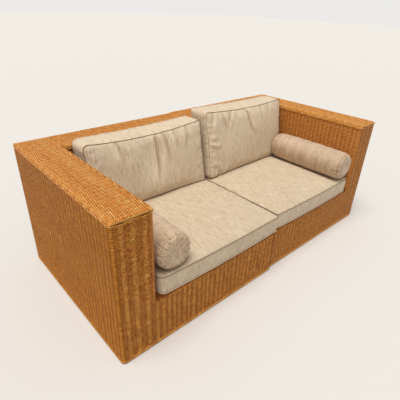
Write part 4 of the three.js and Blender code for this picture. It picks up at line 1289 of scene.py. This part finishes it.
def gathers(chance, radius, turn, travel, r):
    """Depth of the creases that run out from an end's middle and over its edge on to the body."""
    depth = np.zeros(r.shape)
    for number in range(BOLSTER_GATHERS):
        stray = chance.uniform(-GATHER_STRAY, GATHER_STRAY)
        centre = (number + stray) * 2 * math.pi / BOLSTER_GATHERS
        twist = chance.uniform(-GATHER_TURN, GATHER_TURN)
        begin, end = (radius * chance.uniform(*ends) for ends in (GATHER_STARTS, GATHER_ENDS))
        width = chance.uniform(*GATHER_WIDTHS)
        away = np.angle(np.exp(1j * (turn - centre - twist * travel)))
        aside = np.abs(away * np.maximum(r, GATHER_LEAST_RADIUS * radius)) / width
        window = np.clip((travel - begin) / GATHER_RISE, 0, 1)
        window = window * np.clip((end - travel) / GATHER_FADE, 0, 1)
        hollow = GATHER_HOLLOW * np.exp(-(aside - GATHER_HOLLOW_PLACE) ** 2)
        depth += chance.uniform(*GATHER_DEPTHS) * (np.exp(-aside ** 2) - hollow) * window
    return depth


def crumple(chance, across, along, reach, count, size):
    """Depth of short straight wrinkles that cross each other on a flattened end."""
    depth = np.zeros(across.shape)
    for _ in range(count):
        x, y = chance.uniform(-reach, reach, 2)
        way = chance.uniform(0, math.pi)
        length, width = chance.uniform(*WRINKLE_LENGTHS), chance.uniform(*WRINKLE_WIDTHS)
        ahead = (across - x) * math.cos(way) + (along - y) * math.sin(way)
        aside = (along - y) * math.cos(way) - (across - x) * math.sin(way)
        shape = np.exp(-(ahead / length) ** 2 - (aside / width) ** 2)
        depth += chance.uniform(*WRINKLE_DEPTHS) * size * shape
    return depth


def bolster_object(plan, material):
    """A round bolster: gathered ends, soft folds round its body, and a flat where it rests."""
    name = f"{plan.side}_bolster_cloth"
    chance = plan.chance(name)
    low, high = plan.box_of("bolster")
    middle = (low + high) / 2
    radius, half = (high[2] - low[2]) / 2, (high[1] - low[1]) / 2
    look = BOLSTERS[plan.side]
    ring, along = bolster_profile(radius, half, look["rounding"])
    ring = ring * (1 - look["taper"] * np.abs(along / half) ** 3)
    angle = np.arange(BOLSTER_SIDES) * 2 * math.pi / BOLSTER_SIDES
    r, turn = np.meshgrid(ring, angle, indexing="ij")
    travel = distances(np.column_stack([ring, along]))
    ends = travel[:, None], (travel[-1] - travel)[:, None]
    slope = unit(np.stack([np.gradient(along), -np.gradient(ring)], 1))
    depth = sum(gathers(chance, radius, turn, out, r) for out in ends)
    for out in ends:
        seam = (out - BOLSTER_SEAM * radius) / BOLSTER_SEAM_WIDTH
        depth += BOLSTER_SEAM_DEPTH * np.exp(-seam ** 2)
        flat = out * np.cos(turn), out * np.sin(turn)
        wrinkles = crumple(
            chance, *flat, CRUMPLE_SPREAD * radius, look["wrinkles"], look["crumple"]
        )
        depth += wrinkles * np.clip((CRUMPLE_REACH - out / radius) / CRUMPLE_FADE, 0, 1)
    ripple = Ripple(chance, BOLSTER_WAVES)
    y = np.broadcast_to(along[:, None], r.shape)
    places = np.stack([y.ravel(), (turn * radius * BOLSTER_WAVE_STRETCH).ravel()], 1)
    rounds = ripple(places).reshape(r.shape)
    for out in ends:
        rounds = rounds * np.clip(out / radius, 0, 1)
    depth += rounds * BOLSTER_RIPPLE_DEPTH
    r, y = r - depth * slope[:, :1], middle[1] + y - depth * slope[:, 1:]
    x, z = middle[0] + r * np.sin(turn), middle[2] - BOLSTER_SINK + r * np.cos(turn)
    z = np.maximum(z, seat_surface(plan)(x, y) + CUSHION_REST)
    index = np.arange(r.size).reshape(r.shape)
    after = np.roll(index, -1, axis=1)
    faces = np.stack([index[:-1], after[:-1], after[1:], index[1:]], -1).reshape(-1, 4)
    caps = np.stack([index[0, ::-1], index[-1]])
    maps = [bolster_map(travel, radius).reshape(-1, 4, 2), np.zeros((*caps.shape, 2))]
    points = plan.world(np.stack([x, y, z], -1).reshape(-1, 3))
    mesh = new_mesh(name, points, [faces, caps], "Cloth", maps, plan.mirrored)
    # Painted shade in the grooves of the gathers and wrinkles, painted highlight on their raised
    # parts
    add_shade(mesh, -depth / BOLSTER_SHADE_DEPTH)
    return link_piece(name, mesh, material)


def bolster_map(travel, radius):
    """The cloth's map: one sheet wrapped round the body, and a flat disc of cloth on each end."""
    turns = np.linspace(0, 2 * math.pi, BOLSTER_SIDES + 1)
    shape = (len(travel) - 1, BOLSTER_SIDES)
    corners = lambda *values: np.stack([np.broadcast_to(value, shape) for value in values], -1)
    near, far = travel[:-1, None], travel[1:, None]
    rows = corners(near, near, far, far)
    angles = corners(turns[:-1], turns[1:], turns[1:], turns[:-1])
    maps = np.stack([rows, angles * radius], -1)
    flat = angles + BOLSTER_DISC_TURN
    for number, out in enumerate((rows, travel[-1] - rows)):
        disc = np.stack([out * np.cos(flat), out * np.sin(flat)], -1) + 3 * (number + 1)
        on_end = out.mean(-1) < BOLSTER_SEAM * radius
        maps = np.where(on_end[..., None, None], disc, maps)
    return maps


def fabric_material(name, light, shade, slub, strength):
    """Slubbed linen: an even weave of threads, with long uneven slubs along the cloth's length."""
    shader = Shader(name)
    cloth = shader.cloth()
    colour = shader.mix(shader.noise(cloth, (9, 4, 0), detail=3.0), light, shade)
    fine = shader.noise(cloth, (560, 22, 0), detail=5.0, roughness=0.75)
    streaks = [(0.44, WHITE), (0.54, (222, 211, 197)), (0.64, slub)]
    colour = shader.tinted(colour, fine, streaks, strength)
    bands = [(0.4, WHITE), (0.56, (232, 224, 212)), (0.66, slub)]
    colour = shader.tinted(colour, shader.noise(cloth, (250, 9, 3)), bands, strength / 2)
    cross = shader.noise(cloth, (90, 420, 0), roughness=0.6)
    colour = shader.tinted(colour, cross, [(0.45, WHITE), (0.7, (214, 202, 186))], strength=0.3)
    # Painted shade in fold hollows and painted highlight on their ridges, from fold_shade
    fold = shader.math("MULTIPLY_ADD", shader.attribute("fold_shade"), 0.5, 0.5)
    hollows = [(0.0, (202, 188, 176)), (0.5, (246, 245, 244)), (1.0, WHITE)]
    threads = [shader.node("ShaderNodeTexWave", (
        ("Scale", 190.0), ("Distortion", 1.2), ("Vector", cloth),
    ), wave_type="BANDS", bands_direction=way)["Fac"] for way in "XY"]
    weave = shader.bump(shader.math("MULTIPLY", *threads), distance=0.35 * MM, strength=0.6)
    return shader.done(
        Base_Color=shader.tinted(colour, fold, hollows),
        Normal=shader.bump(fine, distance=0.6 * MM, strength=0.5, under=weave),
        Roughness=0.92, Specular_IOR_Level=0.25, Sheen_Weight=0.18, Sheen_Roughness=0.5,
    )


def piping_material():
    """Piping: the cord round the upper seam darkened with painted shade, and a pale one round the
    lower seam.
    """
    shader = Shader("piping_cord")
    cloth = shader.cloth()
    lower = shader.math("GREATER_THAN", shader.split(cloth)[1], LOWER_PIPING_MARK / 2)
    twist = shader.noise(cloth, (420, 260, 0))
    # The upper cords' dark colour is painted shade along the top seams
    upper_painted_shade = shader.mix(twist, (152, 130, 104), (116, 96, 74))
    lower_colour = shader.mix(twist, (226, 208, 182), (200, 180, 154))
    return shader.done(
        Base_Color=shader.mix(lower, upper_painted_shade, lower_colour),
        Normal=shader.bump(twist, distance=0.4 * MM, strength=0.6),
        Roughness=0.9, Specular_IOR_Level=0.25,
    )


def grained_material(name, light, dark, stretch, raised, dullness, **look):
    """Two colours mixed by noise, which also raises the surface."""
    shader = Shader(name)
    grain = shader.noise(shader.position(), stretch, **look)
    return shader.done(
        Base_Color=shader.mix(grain, light, dark), Normal=shader.bump(grain, *raised),
        Roughness=dullness,
    )


def wood_material(name, light, dark, across):
    """Plain sawn wood, its grain stretched by one fixed amount along each axis."""
    look = {"detail": 4.0, "roughness": 0.6}
    return grained_material(name, light, dark, across, (0.5 * MM, 0.4), 0.7, **look)


def read_points(mesh):
    places = np.empty(len(mesh.vertices) * 3, np.float32)
    mesh.vertices.foreach_get("co", places)
    return places.reshape(-1, 3)


def write_points(mesh, points):
    mesh.vertices.foreach_set("co", points.astype(np.float32).ravel())
    mesh.update()


def swell(piece, cushion):
    """Lets the cloth puff and crease between its seams, by a short simulation that holds them."""
    before = read_points(piece.data)
    held = np.full(len(before), CLOTH_HOLD)
    held[cushion.seam_top] = held[cushion.seam_under] = 1.0
    side_cap = SEAT_SIDE_CAP if cushion.lies_flat else CLOTH_SIDE_CAP
    move = np.full(len(before), side_cap)
    move[:cushion.top_count] = CLOTH_MOVE_CAP * (1 - cushion.pressed)
    if cushion.lies_flat:
        move[cushion.top_count:2 * cushion.top_count] = 0.0
    group = piece.vertex_groups.new(name="held")
    for weight in np.unique(held):
        group.add([int(i) for i in np.flatnonzero(held == weight)], float(weight), "REPLACE")
    cloth = piece.modifiers.new("swell", "CLOTH")
    for key, value in CLOTH_SETTINGS.items():
        setattr(cloth.settings, key, value)
    cloth.settings.vertex_group_mass = group.name
    cloth.settings.effector_weights.gravity = 0.0
    cloth.collision_settings.use_collision = False
    cloth.point_cache.frame_start, cloth.point_cache.frame_end = 1, SIMULATION_FRAMES
    for number in range(1, SIMULATION_FRAMES + 1):
        scene.frame_set(number)
    after = read_points(piece.evaluated_get(bpy.context.evaluated_depsgraph_get()).data)
    piece.modifiers.remove(cloth)
    piece.vertex_groups.remove(group)
    scene.frame_set(1)
    step = after - before
    far = np.maximum(np.linalg.norm(step, axis=1), 1e-9)
    write_points(piece.data, before + step * (np.minimum(far, move) / far)[:, None])


def fold(piece, cushion, world):
    """Presses the cushion's long folds into the cloth once it has puffed."""
    before = world(cushion.points)
    for line in cushion.folds:
        cushion.crease(*line)
    write_points(piece.data, read_points(piece.data) + world(cushion.points) - before)
    add_shade(piece.data, cushion.shade)


def add_shade(mesh, shade):
    """Stores the folds' painted light on the cloth: below 0 painted shade in their hollows, above 0
    a painted highlight on their ridges.
    """
    store(mesh, "fold_shade", np.clip(shade, -1, 1))


def refine(piece):
    """One level of subdivision, applied."""
    piece.modifiers.new("refine", "SUBSURF").levels = 1
    smooth = piece.evaluated_get(bpy.context.evaluated_depsgraph_get())
    mesh = bpy.data.meshes.new_from_object(smooth)
    piece.modifiers.clear()
    old, piece.data = piece.data, mesh
    bpy.data.meshes.remove(old)


def furnish(plan, fabrics):
    """The cushions and the bolster of one module."""
    side, mirrored = plan.side, plan.mirrored
    for kind, make, rider, fill in (
        ("seat", seat_cushion_shape, f"{side}_seat", 0.85),
        ("back", back_cushion_shape, f"{side}_backrest", 0.6),
    ):
        cushion, place = make(plan)
        world = lambda points: plan.world(place(points))
        mesh = new_mesh(cushion.name, world(cushion.points), [cushion.faces], "Cloth",
                        [cushion.maps], mirrored)
        piece = link_piece(cushion.name, mesh, fabrics[kind])
        swell(piece, cushion)
        fold(piece, cushion, world)
        refine(piece)
        piping = piping_object(cushion, world, mirrored, fabrics["piping"])
        for part in (piece, piping):
            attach(part, rider)
        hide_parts(f"{side}_{kind}_cushion")
    roll = bolster_object(plan, fabrics["bolster"])
    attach(roll, f"{side}_roll")
    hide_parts(f"{side}_bolster")


def finish_frame_nodes():
    """Gives the hidden frame and the glides their own materials."""
    wood = wood_material("frame_hardwood", (190, 150, 104), (150, 108, 66), (22, 22, 120))
    board = wood_material("plywood_board", (214, 178, 128), (178, 136, 88), (14, 90, 90))
    plastic = grained_material(
        "glide_plastic", (34, 33, 32), (52, 50, 48), (900,) * 3, (0.2 * MM, 0.3), 0.5
    )
    for name, node in nodes.items():
        if "glide" in name:
            material = plastic
        elif "board" in name or "deck" in name:
            material = board
        else:
            material = wood
        node.data.materials.clear()
        node.data.materials.append(material)


# Camera, light and floor

CAMERA_PLACE = (-1.5312, -1.5010, 1.4465)
CAMERA_YAW, CAMERA_PITCH, CAMERA_ROLL = 0.7494, 0.5034, 0.0385
CAMERA_FOCAL_PIXELS = 358.43
CAMERA_NEAR, CAMERA_FAR = 0.05, 60.0
PICTURE_PIXELS = 400
SENSOR_WIDTH = 36.0
KEY_FROM = (-0.28, -0.12, 1.0)
KEY_STRENGTH = 2.8
KEY_SOFTNESS = math.radians(34)
KEY_COLOUR = (1.0, 0.98, 0.95)
SKY_COLOUR = (1.0, 0.985, 0.96, 1.0)
SKY_LIGHT = 0.4
SKY_SEEN = 0.84
FLOOR_REACH = 40.0
FLOOR_COLOUR = (217, 214, 209)


def add_camera():
    """The photograph's camera, found by fitting the sofa's corners."""
    yaw, pitch, roll = CAMERA_YAW, CAMERA_PITCH, CAMERA_ROLL
    level = Vector((math.cos(yaw), -math.sin(yaw), 0.0))
    north = Vector((math.sin(yaw), math.cos(yaw), 0.0))
    ahead = math.cos(pitch) * north - math.sin(pitch) * Vector(UP)
    upward = level.cross(ahead)
    right = math.cos(roll) * level + math.sin(roll) * upward
    up = math.cos(roll) * upward - math.sin(roll) * level
    data = bpy.data.cameras.new("camera")
    data.sensor_width = SENSOR_WIDTH
    data.lens = CAMERA_FOCAL_PIXELS * SENSOR_WIDTH / PICTURE_PIXELS
    data.clip_start, data.clip_end = CAMERA_NEAR, CAMERA_FAR
    camera = bpy.data.objects.new("camera", data)
    axes = Matrix((right, up, -ahead)).transposed().to_4x4()
    camera.matrix_world = Matrix.Translation(CAMERA_PLACE) @ axes
    scene.collection.objects.link(camera)
    scene.camera = camera


def add_sky():
    """A pale sky, brighter where the camera and mirrored rays see it than as a light."""
    world = bpy.data.worlds.new("studio")
    world.use_nodes = True
    tree = Nodes(world.node_tree)
    rays = tree.node("ShaderNodeLightPath", ())
    seen = tree.math("MAXIMUM", rays["Is Camera Ray"], rays["Is Glossy Ray"])
    seen = tree.math("MAXIMUM", seen, rays["Is Transmission Ray"])
    sky = world.node_tree.nodes["Background"].inputs
    sky["Color"].default_value = SKY_COLOUR
    limits = (("Value", seen), ("To Min", SKY_LIGHT), ("To Max", SKY_SEEN))
    tree.give(sky["Strength"], tree.node("ShaderNodeMapRange", limits)[0])
    scene.world = world


def add_key_light():
    data = bpy.data.lights.new("key", "SUN")
    data.energy, data.angle, data.color = KEY_STRENGTH, KEY_SOFTNESS, KEY_COLOUR
    lamp = bpy.data.objects.new("key", data)
    lamp.rotation_euler = (-Vector(KEY_FROM)).to_track_quat("-Z", "Y").to_euler()
    scene.collection.objects.link(lamp)


def add_floor():
    mesh = bpy.data.meshes.new("floor")
    near, far = -FLOOR_REACH, FLOOR_REACH
    corners = [(near, near, 0), (far, near, 0), (far, far, 0), (near, far, 0)]
    mesh.from_pydata(corners, [], [range(4)])
    material = Shader("floor").done(Base_Color=FLOOR_COLOUR, Roughness=0.9)
    link_piece("floor", mesh, material)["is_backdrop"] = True


# The whole scene

scene = bpy.context.scene
scene.view_settings.view_transform = "Standard"
add_camera()
add_sky()
add_key_light()
add_floor()
finish_frame_nodes()
# Copies of one rattan, each lighter or darker for the faces it covers: painted light and shade for
# how the light falls on tops, fronts, outer walls and inner panels. The top's copy also has the
# whitest painted highlights and the darkest painted shade between strands.
rattans = {
    "top": rattan_material("rattan_top", [
        (206, 134, 58), (240, 169, 84), (252, 192, 106), (255, 212, 138), (255, 235, 182),
    ], [(158, 122, 90), (208, 176, 142), (246, 226, 198), (236, 212, 182), WHITE],
        grain=(222, 198, 172), run=9, whole=0.55, gap=(86, 50, 26), gap_shade_strength=0.9),
    "wall": rattan_material("rattan_wall", [
        (138, 84, 24), (194, 128, 46), (222, 153, 54), (238, 173, 70), (250, 202, 116),
    ], [(142, 110, 80), (174, 148, 118), (208, 190, 164), (212, 194, 168), WHITE],
        grain=(214, 192, 166)),
    "front": rattan_material("rattan_front", [
        (164, 103, 42), (220, 151, 67), (250, 178, 82), (255, 200, 103), (255, 224, 146),
    ], [(158, 128, 98), (184, 158, 130), (208, 190, 168), (210, 192, 168), WHITE],
        grain=(170, 144, 116)),
    "inner": rattan_material("rattan_inner", [
        (198, 130, 66), (236, 166, 94), (252, 193, 115), (255, 210, 139), (255, 229, 174),
    ], [(140, 104, 74), (184, 148, 114), (244, 230, 210), (228, 206, 178), (236, 208, 178)],
        grain=(214, 194, 170), run=40, whole=0.15),
}
# The back cushions' linen is set lighter than the seat's: painted light on their fronts, which get
# less of the light
linens = {
    "seat": ((238, 224, 200), (226, 208, 184), (167, 150, 128), 0.75),
    "back": ((250, 236, 212), (238, 220, 196), (169, 152, 130), 0.7),
    "bolster": ((235, 214, 189), (218, 195, 170), (157, 136, 115), 0.75),
}
fabrics = {kind: fabric_material(f"{kind}_linen", *look) for kind, look in linens.items()}
fabrics["piping"] = piping_material()
for side in ("left", "right"):
    plan = Plan(side)
    weave_module(plan, rattans)
    furnish(plan, fabrics)
visual_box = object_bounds()
boxes = {"cad": cad_box, "visual": visual_box}
sizes = {kind: [list(corner) for corner in box] for kind, box in boxes.items()}
